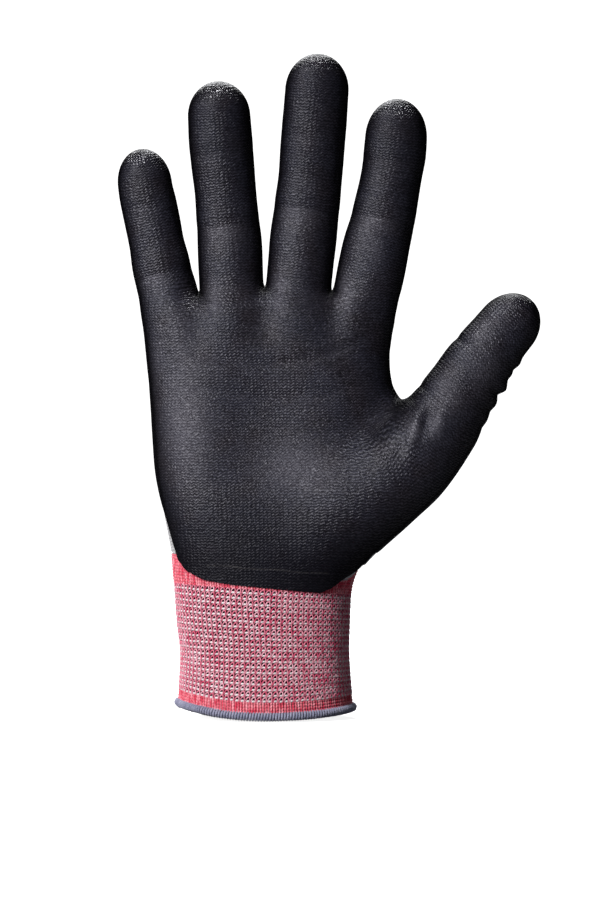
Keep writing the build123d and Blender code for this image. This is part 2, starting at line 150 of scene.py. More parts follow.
# Mounds: x, z, x radius, z radius, height (and tilt in radians)
PALM_MOUNDS = [
    (-27, 92, 13, 30, 1.8), (26, 83, 15, 20, 2.7), (0, 108, 17, 26, -2.3), (2, 70, 12, 9, -0.5),
    (-24.5, 147, 5, 11, -1.3), (-0.5, 149, 5, 11, -1.3), (24.5, 147, 5, 11, -1.3),
    (-13.0, 150, 6, 12, 0.8), (11.5, 151, 6, 12, 0.9), (35.5, 149, 6, 12, 0.8),
    (-34, 148, 5, 11, 0.6)]
BACK_MOUNDS = [
    (-34, 150, 7, 9, 0.8), (-12, 154, 7, 9, 1.0), (12.5, 155, 7, 9, 1.1), (37, 153, 7, 9, 0.9),
    (-24, 138, 4.5, 22, -0.8), (0, 140, 4.5, 24, -0.9), (25, 138, 4.5, 22, -0.8),
    (2, 112, 26, 22, 0.9)]
# the folds in the crook of the thumb; here a positive height sinks the surface
CROOK_FOLDS = [
    (59.2, 108.8, 2.6, 5.0, 1.5, -0.35), (54.4, 105.5, 2.3, 7.5, -1.15, -0.3),
    (64.0, 109.5, 3.0, 6.0, -0.5, -0.4), (50.0, 99.0, 2.2, 6.0, 0.45, -0.5)]
# patches of the palm side painted lighter: painted highlights where the light falls on the finger
# roots, the crook and the thumb, the fingers and the palm's edge
PAINTED_HIGHLIGHT_SPOTS = [
    (-18.5, 155.0, 2.6, 7.0, 0.8), (5.5, 157.0, 2.6, 7.5, 0.8), (29.6, 157.0, 2.8, 7.5, 0.8),
    (54.5, 106.5, 2.2, 3.6, 1.0), (62.5, 108.5, 2.6, 5.0, 0.8), (66.5, 118.0, 5.0, 8.0, 0.55),
    (79.0, 129.0, 6.0, 8.0, 0.5), (79.5, 143.0, 4.5, 8.0, 0.5), (40.5, 174.0, 3.2, 8.0, 0.55),
    (10.4, 178.0, 3.0, 9.0, 0.4), (-19.4, 176.5, 3.0, 8.0, 0.35), (-31.0, 143.0, 6.0, 8.0, 0.5),
    (-39.0, 132.0, 3.6, 16.0, 0.5), (-30.0, 112.0, 8.5, 26.0, 0.85),
    (11.0, 92.0, 12.0, 9.0, 0.85)]
# shallow lines across the palm:
# depth, z and x of the middle, slope, bend, width, x span fading in, x span fading out
PALM_LINES = [(0.55, 131, 8, 0.11, 0.0065, 2.0, (-34, -16), (34, 46)),
              (0.5, 121, -20, -0.2, 0.004, 2.2, (-36, -22), (22, 40))]


# ------------------------------------------------------------------ small maths
def cubic_rows(rows, t):
    x = rows[:, 0]
    slope = np.empty_like(rows[:, 1:])
    slope[1:-1] = (rows[2:, 1:] - rows[:-2, 1:]) / (x[2:] - x[:-2])[:, None]
    slope[0] = (rows[1, 1:] - rows[0, 1:]) / (x[1] - x[0])
    slope[-1] = (rows[-1, 1:] - rows[-2, 1:]) / (x[-1] - x[-2])
    i = np.clip(np.searchsorted(x, t, side="right") - 1, 0, len(x) - 2)
    gap = x[i + 1] - x[i]
    u = ((t - x[i]) / gap)[:, None]
    a, b = rows[i, 1:], rows[i + 1, 1:]
    slope_a, slope_b = slope[i] * gap[:, None], slope[i + 1] * gap[:, None]
    return ((2 * u**3 - 3 * u**2 + 1) * a + (u**3 - 2 * u**2 + u) * slope_a
            + (-2 * u**3 + 3 * u**2) * b + (u**3 - u**2) * slope_b)


class Curve:
    """Every column of a table at any t: a cubic through the rows, straight on past the ends."""

    def __init__(self, rows, samples=1600):
        rows = np.array(rows, float)
        t = np.linspace(rows[0, 0], rows[-1, 0], samples)
        self.start = t[0]
        self.gap = (t[-1] - t[0]) / (samples - 1)
        self.table = cubic_rows(rows, t)

    def __call__(self, t):
        place = (np.asarray(t, float) - self.start) / self.gap
        i = np.clip(place.astype(int), 0, len(self.table) - 2)
        part = (place - i)[..., None]
        return self.table[i] + part * (self.table[i + 1] - self.table[i])


HAND, CUFF = Curve(HAND_ROWS), Curve(CUFF_ROWS)


def step(x, low, high):
    u = np.clip((x - low) / (high - low), 0, 1)
    return u * u * (3 - 2 * u)


def smooth_min(a, b, reach):
    h = np.clip(1 - np.abs(a - b) / reach, 0, 1)
    return np.minimum(a, b) - h * h * reach * 0.25


def smooth_max(a, b, reach):
    return -smooth_min(-a, -b, reach)


def unit(v):
    return v / np.linalg.norm(v, axis=-1, keepdims=True)


def dot(a, b):
    return np.einsum("...i,...i", a, b)


def bell(x, middle, width):
    return np.exp(-((x - middle) / width) ** 2)


def mound(x, z, mid_x, mid_z, radius_x, radius_z, height, tilt=0.0):
    dx, dz = x - mid_x, z - mid_z
    dx, dz = (dx * math.cos(tilt) + dz * math.sin(tilt),
              -dx * math.sin(tilt) + dz * math.cos(tilt))
    return height * np.exp(-(dx / radius_x) ** 2 - (dz / radius_z) ** 2)


def mounds(x, z, rows):
    return sum(mound(x, z, *row) for row in rows)


# ------------------------------------------------------------------ fingers and thumb
class Stall:
    """A finger or the thumb: a tube on a curved centre line, domed at its tip.

    relief(t, across, palmward) is added to the distance, so where positive it sinks the face.
    """

    def __init__(self, rows, dome, ratio, relief, low=None, creases=(), crotch=0.0, cuts=()):
        self.rows = np.array(rows, float)
        self.curve = Curve(rows)
        self.length = self.rows[-1, 0]
        self.low = self.rows[0, 0] if low is None else low
        self.dome, self.ratio, self.relief = dome, ratio, relief
        self.creases, self.crotch, self.cuts = creases, crotch, cuts

    def at(self, t):
        return self.curve(t)[..., :3]

    def heading(self, t):
        return unit(self.at(t + 0.5) - self.at(t - 0.5))

    def along(self, points, low, high):
        """Distance along the centre line nearest each point, held between low and high."""
        a, b = self.at(low), self.at(high)
        t = np.clip(low + (points - a) @ ((b - a) / np.linalg.norm(b - a)), low, high)
        for _ in range(4):
            t = np.clip(t + dot(points - self.at(t), self.heading(t)), low, high)
        return t

    def measure(self, points):
        return self.along(points, self.low, self.length)

    def local(self, points):
        """Distance along, across, palmward, past the dome's start, and the half width there."""
        t = self.along(points, self.rows[0, 0], self.length - self.dome)
        centre, heading = self.curve(t), self.heading(t)
        sideways = unit(np.cross(np.array([0.0, 1.0, 0.0]), heading))
        palmward = np.cross(sideways, heading)
        offset = points - centre[..., :3]
        return (t, dot(offset, sideways), dot(offset, palmward), dot(offset, heading),
                centre[..., 3])

    def field(self, points):
        t, X, Y, past, a = self.local(points)
        root, tip = self.ratio
        b = a * (root + (tip - root) * np.clip(t / self.length, 0, 1))
        dome = np.where(past > 0, self.dome, 10.0)
        k = np.sqrt((X / a) ** 2 + (Y / b) ** 2 + (past / dome) ** 2)
        slope = np.sqrt((X / a**2) ** 2 + (Y / b**2) ** 2 + (past / dome**2) ** 2)
        distance = np.where(k > 0.25, (k - 1) * k / np.maximum(slope, 1e-6), -0.8 * b)
        return distance + self.relief(t + np.maximum(past, 0), X / a, Y / b)


def finger_relief(creases):
    """At each crease a fold over the palm side, and slack over the back of the joint."""
    slack = ((-2.6, 0.16), (0.2, 0.2), (2.9, 0.14))   # offset from the crease, share

    def relief(t, X, Y):
        out = np.zeros_like(t)
        front, back = step(Y, -0.25, 0.5), step(-Y, -0.1, 0.6)
        for place, strength in creases:
            s = t - place + 0.9 * X * X
            slope = np.exp(-np.maximum(-s, 0) / 6.0) * (1 - step(s, -1.2, 3.2))
            swell = 0.42 * slope - 0.30 * bell(s, 5.0, 4.0) - 0.20 * bell(s, -11.0, 4.5)
            out += strength * front * swell
            for offset, share in slack:
                wave = bell(s, offset, 0.8) - 0.5 * np.exp(-((s - offset - 1.4) / 0.9) ** 2)
                out += strength * back * share * wave
        return out
    return relief


def thumb_relief(t, X, Y):
    """Slack folds round the outer back of the thumb, and shallow creases across its pad."""
    # distance, strength, width
    folds = ((32.6, 1.35, 2.3), (25.2, 0.55, 1.7), (43.6, 0.65, 1.8), (38.6, 0.35, 1.5),
             (18.5, 0.35, 1.8))
    pad_creases = ((38.0, 0.5), (17.0, 0.5))          # distance, strength
    out = np.zeros_like(t)
    outer = step(X - 0.55 * Y, 0.1, 1.0)
    for place, strength, width in folds:
        s = t - place - 2.0 * (1 - X)
        out -= strength * outer * np.exp(-(s / width) ** 2)
        out += 0.55 * strength * outer * np.exp(-((s + 1.9 * width) / (0.55 * width)) ** 2)
    pad = step(0.6 * Y - 0.5 * X, 0.0, 0.8)
    for place, strength in pad_creases:
        s = t - place + 0.8 * X * X
        out += strength * pad * (bell(s, 0, 1.3) - 0.3 * bell(s, -4, 3.2)
                                 - 0.3 * bell(s, 4, 3.2))
    return out


def make_thumb():
    hops = np.linalg.norm(np.diff(THUMB_STATIONS[:, :3], axis=0), axis=1)
    run = np.concatenate([[0], np.cumsum(hops)])
    station, distance = THUMB_MARK
    rows = np.column_stack([run - (run[station] - distance), THUMB_STATIONS])
    return Stall(rows, dome=13.0, ratio=(0.95, 0.86), relief=thumb_relief)


STALLS = {name: Stall(relief=finger_relief(finger["creases"]), low=-20, **finger)
          for name, finger in FINGERS.items()}
THUMB = make_thumb()


def nearest_finger(points):
    return np.stack([stall.field(points) for stall in STALLS.values()], 1).argmin(1)


# ------------------------------------------------------------------ the hand as a field
def hand_field(x, y, z):
    """The hand without its fingers and thumb."""
    row = HAND(z)
    mid_x, half = (row[..., 0] + row[..., 1]) / 2, (row[..., 1] - row[..., 0]) / 2
    depth = np.where(y < 0, row[..., 2], row[..., 3])
    power = row[..., 4]
    X = np.maximum(np.abs(x - mid_x) / half, 1e-4)
    Y = np.maximum(np.abs(y) / depth, 1e-4)
    k = (X**power + Y**power) ** (1 / power)
    slope = k ** (1 - power) * np.sqrt((X ** (power - 1) / half) ** 2
                                       + (Y ** (power - 1) / depth) ** 2)
    core = -0.7 * np.minimum(half, depth)
    distance = np.where(k > 0.3, (k - 1) / np.maximum(slope, 1e-6), core)
    palm = mounds(x, z, PALM_MOUNDS)
    for depth_, mid_z, line_x, tilt, bend, width, fade_in, fade_out in PALM_LINES:
        s = (z - mid_z - tilt * (x - line_x) - bend * (x - line_x) ** 2) / width
        palm -= depth_ * np.exp(-s**2) * step(x, *fade_in) * (1 - step(x, *fade_out))
    # knuckle swells, and the slack between them
    back = mounds(x, z, BACK_MOUNDS)
    distance = distance - palm * step(-y, 2, 10) - back * step(y, 2, 9)
    return smooth_max(distance, z - np.interp(x, *TOP_EDGE.T), 9.0)


class Grid:
    """A field sampled on a regular grid."""

    def __init__(self, low, high, gap):
        self.low, self.gap = np.array(low), gap
        self.size = np.ceil((np.array(high) - self.low) / gap).astype(int) + 1
        self.axes = [self.low[i] + gap * np.arange(self.size[i]) for i in range(3)]
        self.values = self.blank()

    def blank(self):
        return np.full(self.size, 30.0, np.float32)

    def region(self, a, b):
        """The slices of a box, its x, y, z grids, and the same as points."""
        first = np.maximum(np.floor((np.array(a) - self.low) / self.gap).astype(int), 0)
        last = np.ceil((np.array(b) - self.low) / self.gap).astype(int) + 1
        last = np.minimum(last, self.size)
        box = tuple(slice(p, q) for p, q in zip(first, last))
        xyz = np.meshgrid(*[axis[part] for axis, part in zip(self.axes, box)], indexing="ij")
        return box, xyz, np.stack(xyz, -1)

    def sample(self, points):
        g = (points - self.low) / self.gap
        i = np.clip(np.floor(g).astype(int), 0, self.size - 2)
        f = g - i
        out = 0
        for a in (0, 1):
            for b in (0, 1):
                for c in (0, 1):
                    weight = ((f[:, 0] if a else 1 - f[:, 0])
                              * (f[:, 1] if b else 1 - f[:, 1])
                              * (f[:, 2] if c else 1 - f[:, 2]))
                    out = out + weight * self.values[i[:, 0] + a, i[:, 1] + b, i[:, 2] + c]
        return out

    def gradient(self, points, reach):
        out = np.empty((len(points), 3))
        for a in range(3):
            d = np.zeros(3)
            d[a] = reach
            out[:, a] = self.sample(points + d) - self.sample(points - d)
        return out / (2 * reach)

    def project(self, points):
        """Moves points onto the zero surface."""
        slope = self.gradient(points, 0.5 * self.gap)
        far = self.sample(points) / np.maximum((slope * slope).sum(1), 1e-3)
        return points - np.clip(far, -self.gap, self.gap)[:, None] * slope


def build_field():
    bottom = Z_LOW - 3 * GRID
    grid = Grid((-58.0, -38.0, bottom), (112.0, 28.0, 249.0), GRID)
    values = grid.values
    box, xyz, _ = grid.region((-58, -38, bottom), (64, 28, 163))
    values[box] = hand_field(*xyz)
    # the thumb and the muscle under it
    box, (x, y, z), points = grid.region((-2, -38, 40), (112, 14, 170))
    joined = smooth_min(values[box], THUMB.field(points), 11.0)
    values[box] = joined + mounds(x, z, CROOK_FOLDS) * step(-y, 6, 14)
    fingers = grid.blank()
    for stall in STALLS.values():
        centres = stall.rows[:, 1:4]
        box, _, points = grid.region(centres.min(0) - 16, centres.max(0) + 16)
        fingers[box] = np.minimum(fingers[box], stall.field(points))
    grid.values = smooth_min(values, fingers, 4.2)
    return grid


def surface_nets(grid):
    """Quads along the zero surface, with one vertex in every cell it crosses."""
    values = grid.values
    inside = values < 0
    nx, ny, nz = values.shape
    count = np.zeros((nx - 1, ny - 1, nz - 1), np.int8)
    for i in (0, 1):
        for j in (0, 1):
            for k in (0, 1):
                count += inside[i:nx - 1 + i, j:ny - 1 + j, k:nz - 1 + k]
    active = (count > 0) & (count < 8)
    cells = np.argwhere(active)
    index = np.full(active.shape, -1, np.int64)
    index[active] = np.arange(len(cells))
    # each vertex is the mean of the crossings on its cell's twelve edges
    total, hits = np.zeros((len(cells), 3)), np.zeros(len(cells))
    for a in range(3):
        b, c = (a + 1) % 3, (a + 2) % 3
        for i in (0, 1):
            for j in (0, 1):
                offset = np.zeros(3, int)
                offset[b], offset[c] = i, j
                start = cells + offset
                end = start.copy()
                end[:, a] += 1
                f0 = values[tuple(start.T)].astype(float)
                f1 = values[tuple(end.T)].astype(float)
                cross = (f0 < 0) != (f1 < 0)
                point = start.astype(float)
                point[:, a] += np.where(cross, f0 / np.where(cross, f0 - f1, 1), 0)
                total[cross] += point[cross]
                hits[cross] += 1
    verts = grid.low + grid.gap * total / hits[:, None]
    quads = []
    for a in range(3):
        b, c = (a + 1) % 3, (a + 2) % 3
        near, far = [slice(1, -1)] * 3, [slice(1, -1)] * 3
        near[a], far[a] = slice(0, -1), slice(1, None)
        s0, s1 = inside[tuple(near)], inside[tuple(far)]
        at = np.argwhere(s0 != s1)
        leaving = s0[tuple(at.T)]
        at = at + 1
        at[:, a] -= 1
        corners = []
        for back_b, back_c in ((1, 1), (0, 1), (0, 0), (1, 0)):
            cell = at.copy()
            cell[:, b] -= back_b
            cell[:, c] -= back_c
            corners.append(index[tuple(cell.T)])
        quad = np.stack(corners, 1)
        quad[~leaving] = quad[~leaving][:, ::-1]
        quads.append(quad)
    quads = np.concatenate(quads)
    return verts, quads[(quads >= 0).all(1)]


def hand_surface():
    """Vertices, normals and triangles of the whole hand, evened out along its surface."""
    grid = build_field()
    verts, quads = surface_nets(grid)
    tris = np.vstack([quads[:, [0, 1, 2]], quads[:, [0, 2, 3]]])
    sides = np.vstack([quads[:, pair] for pair in ([0, 1], [1, 2], [2, 3], [3, 0])])
    edges = np.unique(np.sort(sides, axis=1), axis=0)
    p, q = edges.T
    n = len(verts)
    degree = np.bincount(edges.ravel(), minlength=n).astype(float)[:, None]
    verts = grid.project(grid.project(verts))
    for _ in range(3):
        mean = np.zeros_like(verts)
        for a in range(3):
            mean[:, a] = np.bincount(p, verts[q, a], n) + np.bincount(q, verts[p, a], n)
        mean /= degree
        verts = grid.project(verts + 0.55 * (mean - verts))
    verts = grid.project(verts)
    normals = unit(grid.gradient(verts, 0.75 * GRID))
    # triangles turn the way the normals point
    a, b, c = (verts[tris[:, i]] for i in range(3))
    if (np.cross(b - a, c - a) * normals[tris[:, 0]]).sum() < 0:
        tris = tris[:, ::-1]
    return verts, normals, tris


# ------------------------------------------------------------------ triangle meshes
def clip(verts, data, tris, s, eps=0.06):
    """Splits a mesh where s changes sign. Returns vertices, data, triangles below, above."""
    s = np.where(np.abs(s) < eps, 0.0, s)
    corner = s[tris]
    above, below = (corner >= 0).all(1), (corner <= 0).all(1)
    both = above & below
    above &= ~both | (corner.sum(1) >= 0)
    below &= ~above
    new_verts, new_data, cache, lower, upper = [], [], {}, [], []
    base = len(verts)

    def cut(i, j):
        key = (i, j) if i < j else (j, i)
        if key not in cache:
            p, q = key
            u = s[p] / (s[p] - s[q])
            new_verts.append(verts[p] * (1 - u) + verts[q] * u)
            new_data.append(data[p] * (1 - u) + data[q] * u)
            cache[key] = base + len(new_verts) - 1
        return cache[key]

    for tri in tris[~above & ~below].tolist():
        low, up = [], []
        for k in range(3):
            i, j = tri[k], tri[(k + 1) % 3]
            if s[i] >= 0:
                up.append(i)
            if s[i] <= 0:
                low.append(i)
            if s[i] * s[j] < 0:
                middle = cut(i, j)
                low.append(middle)
                up.append(middle)
        for poly, out in ((low, lower), (up, upper)):
            for k in range(1, len(poly) - 1):
                out.append((poly[0], poly[k], poly[k + 1]))
    if new_verts:
        verts, data = np.vstack([verts, new_verts]), np.vstack([data, new_data])

    def join(whole, extra):
        return np.vstack([whole, np.array(extra, int).reshape(-1, 3)])

    return verts, data, join(tris[below], lower), join(tris[above], upper)


def border(tris):
    """Directed edges with a triangle on one side only."""
    edges = np.vstack([tris[:, [0, 1]], tris[:, [1, 2]], tris[:, [2, 0]]])
    n = int(tris.max()) + 1
    key, reverse = edges[:, 0] * n + edges[:, 1], edges[:, 1] * n + edges[:, 0]
    return edges[~np.isin(key, reverse)]


def make_mesh(name, verts, faces, materials, point, corner=None, normals=None):
    """faces: (n, 3) or (n, 4). point, corner: attributes of 1 or 3 numbers. normals: by corner."""
    mesh = bpy.data.meshes.new(name)
    n, sides = faces.shape
    mesh.vertices.add(len(verts))
    mesh.vertices.foreach_set("co", (np.asarray(verts) * MM).astype(np.float32).ravel())
    mesh.loops.add(n * sides)
    mesh.loops.foreach_set("vertex_index", faces.astype(np.int32).ravel())
    mesh.polygons.add(n)
    mesh.polygons.foreach_set("loop_start", (np.arange(n) * sides).astype(np.int32))
    mesh.polygons.foreach_set("use_smooth", np.ones(n, bool))
    for domain, group in (("CORNER", corner), ("POINT", point)):
        for key, values in (group or {}).items():
            values = np.asarray(values, np.float32)
            vector = values.ndim == 2
            layer = mesh.attributes.new(key, "FLOAT_VECTOR" if vector else "FLOAT", domain)
            layer.data.foreach_set("vector" if vector else "value", values.ravel())
    mesh.update()
    mesh.validate(clean_customdata=False)
    if normals is not None:
        mesh.normals_split_custom_set(np.asarray(normals, np.float32).reshape(-1, 3))
    obj = bpy.data.objects.new(name, mesh)
    bpy.context.scene.collection.objects.link(obj)
    for material in materials:
        mesh.materials.append(material)
    return obj


# ------------------------------------------------------------------ data on the hand's surface
# Columns: normal, rest position, knit distance round from the palm's and the back's middle,
# knit distance up, palmward side, distance inside the coating's edge, distance from the pale
# line, fingertip, rubbed and painted highlight.
NORMAL, REST = slice(0, 3), slice(3, 6)
PALM_U, BACK_U, KNIT_V, SIDE, LIP, GLOW, TIP, RUB_AND_HIGHLIGHT = range(6, 14)

# lengths along a typical half section of the hand, from +X to -X, counted from its middle
SQUARENESS = 2.5
ARC_HALF, ARC_DEPTH = 45, 17
arc_angle = np.linspace(0, math.pi, 721)
arc_x = np.sign(np.cos(arc_angle)) * np.abs(np.cos(arc_angle)) ** (2 / SQUARENESS) * ARC_HALF
arc_y = np.abs(np.sin(arc_angle)) ** (2 / SQUARENESS) * ARC_DEPTH
arc_length = np.concatenate([[0], np.cumsum(np.hypot(np.diff(arc_x), np.diff(arc_y)))])
arc_length -= arc_length[360]


def around_hand(x, y, z):
    """Distance round the hand from the middle of the palm (or of the back), at height z."""
    row = HAND(z)
    mid_x, half = (row[:, 0] + row[:, 1]) / 2, (row[:, 1] - row[:, 0]) / 2
    X, Y = (x - mid_x) / half, np.abs(y) / np.where(y < 0, row[:, 2], row[:, 3])
    power = SQUARENESS / 2
    angle = np.arctan2(Y**power, np.sign(X) * np.abs(X) ** power)
    return np.interp(angle, arc_angle, -arc_length) * half / ARC_HALF + mid_x


def hand_lip(x, y, z):
    """Distance inside the coating's edge over the hand."""
    edge, ahead, behind = (np.interp(x + d, *DIP_EDGE.T) for d in (0, 1, -1))
    slope = (ahead - behind) / 2
    wave = 0.5 * np.sin(0.31 * z + 1.0) + 0.35 * np.sin(0.83 * z + 0.4 * x)
    lower = (z - edge) / np.sqrt(1 + slope**2) - 1.1 * np.maximum(y + 3, 0)
    return smooth_min(lower, 2.6 + wave - y - 8.5 * step(x, 38, 58), 6.0)


def blend_column(data, rows, column, weight, value):
    data[rows, column] = (1 - weight) * data[rows, column] + weight * value


def wrap_knit(data, rows, weight, local, depth, mid_u, base_v):
    """Winds the knit round a stall instead of round the hand."""
    t, X, Y, past, a = local
    radius = (a + depth) / 2
    palm = np.arctan2(X / a, np.maximum(Y / depth, -0.2))
    back = np.arctan2(X / a, np.maximum(-Y / depth, -0.2))
    blend_column(data, rows, PALM_U, weight, mid_u + radius * palm)
    blend_column(data, rows, BACK_U, weight, -(mid_u + radius * back))
    # past the dome's start, distance follows the curve towards the tip
    blend_column(data, rows, KNIT_V, weight, base_v + t + np.maximum(past, 0) * 1.15)
    blend_column(data, rows, SIDE, weight, Y)


def dress_finger(data, mine, number, stall):
    local = stall.local(data[mine, REST])
    t, X, Y, past, a = local
    reach = t + np.maximum(past, 0)
    b = a * 0.88
    weight = step(data[mine, 5], 148, 168)
    wrap_knit(data, mine, weight, local, b, mid_u=stall.rows[1, 1], base_v=157)
    wave = 0.35 * np.sin(0.45 * reach + number) + 0.25 * np.sin(1.1 * reach + 2 * number)
    cap = 26 * step(reach, stall.length - 20, stall.length - 7)
    blend_column(data, mine, LIP, weight, Y + 0.42 * b + wave + cap)
    data[mine, TIP] = step(reach, stall.length - 7.5, stall.length - 1.5)
    (first, _), (second, _) = stall.creases
    s = reach + 0.9 * (X / a) ** 2

    # below each crease the coating is rubbed where it stretches over the joint, and painted
    # lighter there as a highlight where the bulge faces the light
    def worn_and_lit(place, fade):
        return np.exp(-np.maximum(place - s, 0) / fade) * (1 - step(s, place - 0.6, place + soft))

    # the patch sits left of centre on the palm side, the side the light falls on
    middle = bell(X / a, -0.25, 0.5) * step(Y / b, 0.0, 0.5)
    soft = 0.3
    rub = worn_and_lit(first, 8.0)
    soft = 0.4
    data[mine, RUB_AND_HIGHLIGHT] = middle * (rub + 0.35 * worn_and_lit(second, 4.0))


def dress_thumb(data):
    verts = data[:, REST]
    x, _, z = verts.T
    local = THUMB.local(verts)
    t, X, Y, past, a = local
    reach = t + np.maximum(past, 0)
    b = a * 0.92
    weight = (step(reach, -22, 8) * step(hand_field(*verts.T) - THUMB.field(verts), -3, 7)
              * (1 - step(z, 150, 158) * (x < 60)))
    every = slice(None)
    wrap_knit(data, every, weight, local, b, mid_u=50, base_v=101)
    turn = math.radians(15)    # the coated side is turned this far round the thumb
    cap = 26 * step(reach, THUMB.length - 20, THUMB.length - 7)
    lip = (Y * math.cos(turn) - X * math.sin(turn) + 0.46 * b + 0.4 * np.sin(0.4 * reach)
           + cap)
    blend_column(data, every, LIP, weight * step(reach, -7, 15), lip)
    tip = (weight > 0.5) * step(reach, THUMB.length - 7.0, THUMB.length - 1.0)
    data[:, TIP] = np.maximum(data[:, TIP], tip)


def dress(verts, normals):
    """The full table of data for the hand's vertices."""
    x, y, z = verts.T
    data = np.zeros((len(verts), 14))
    data[:, NORMAL], data[:, REST] = normals, verts
    data[:, PALM_U] = around_hand(x, y, z)
    data[:, BACK_U] = -data[:, PALM_U]
    data[:, KNIT_V], data[:, SIDE] = z, -y
    data[:, LIP] = hand_lip(x, y, z)
    finger = nearest_finger(verts)
    for number, stall in enumerate(STALLS.values()):
        dress_finger(data, (finger == number) & (z > 138), number, stall)
    dress_thumb(data)
    # painted highlights, joined with the rubbed patches below the finger creases
    for spot in PAINTED_HIGHLIGHT_SPOTS:
        data[:, RUB_AND_HIGHLIGHT] = np.maximum(data[:, RUB_AND_HIGHLIGHT], mound(x, z, *spot) * (y < 0))
    # a thin pale line runs across the coating just above its lower edge
    above = z - (57.0 - 0.070 * (x + 22) + 0.2 * np.sin(x * 0.35))
    data[:, GLOW] = np.where((y < 0) & (x > -21) & (x < 24), np.clip(above, -9, 9), 9.0)
    return data


# ------------------------------------------------------------------ liner and coating
def blend_zone(obj):
    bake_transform(obj)


def finger_vertices(name, verts):
    """Which vertices belong to a finger, from its root up."""
    stall = STALLS[name]
    x, z = verts[:, 0], verts[:, 2]
    high = np.flatnonzero((z > 150) & (z < 175))
    mine = nearest_finger(verts[high]) == list(STALLS).index(name)
    own = np.zeros(len(verts), bool)
    # the thumb's tip reaches as high as the roots, well off to their side
    own[high] = mine & (np.abs(x[high] - stall.at(0.0)[0]) < 26)
    middle = np.interp(z, stall.rows[:, 3], stall.rows[:, 1])
    return own | ((z >= 175) & (np.abs(x - middle) < 13.2))


def root_cut(name):
    """Distance of the finger's first slice: square to it, just clear of the crotch beside it."""
    stall = STALLS[name]
    x, y, _ = stall.at(0.0)
    clear = stall.rows[1, 4] + 0.3
    beside = {"little": (1,), "index": (-1,)}.get(name, (1, -1))
    crotch = np.array([[x + side * clear, y, stall.crotch] for side in beside])
    return float(stall.measure(crotch).max()) + 0.25


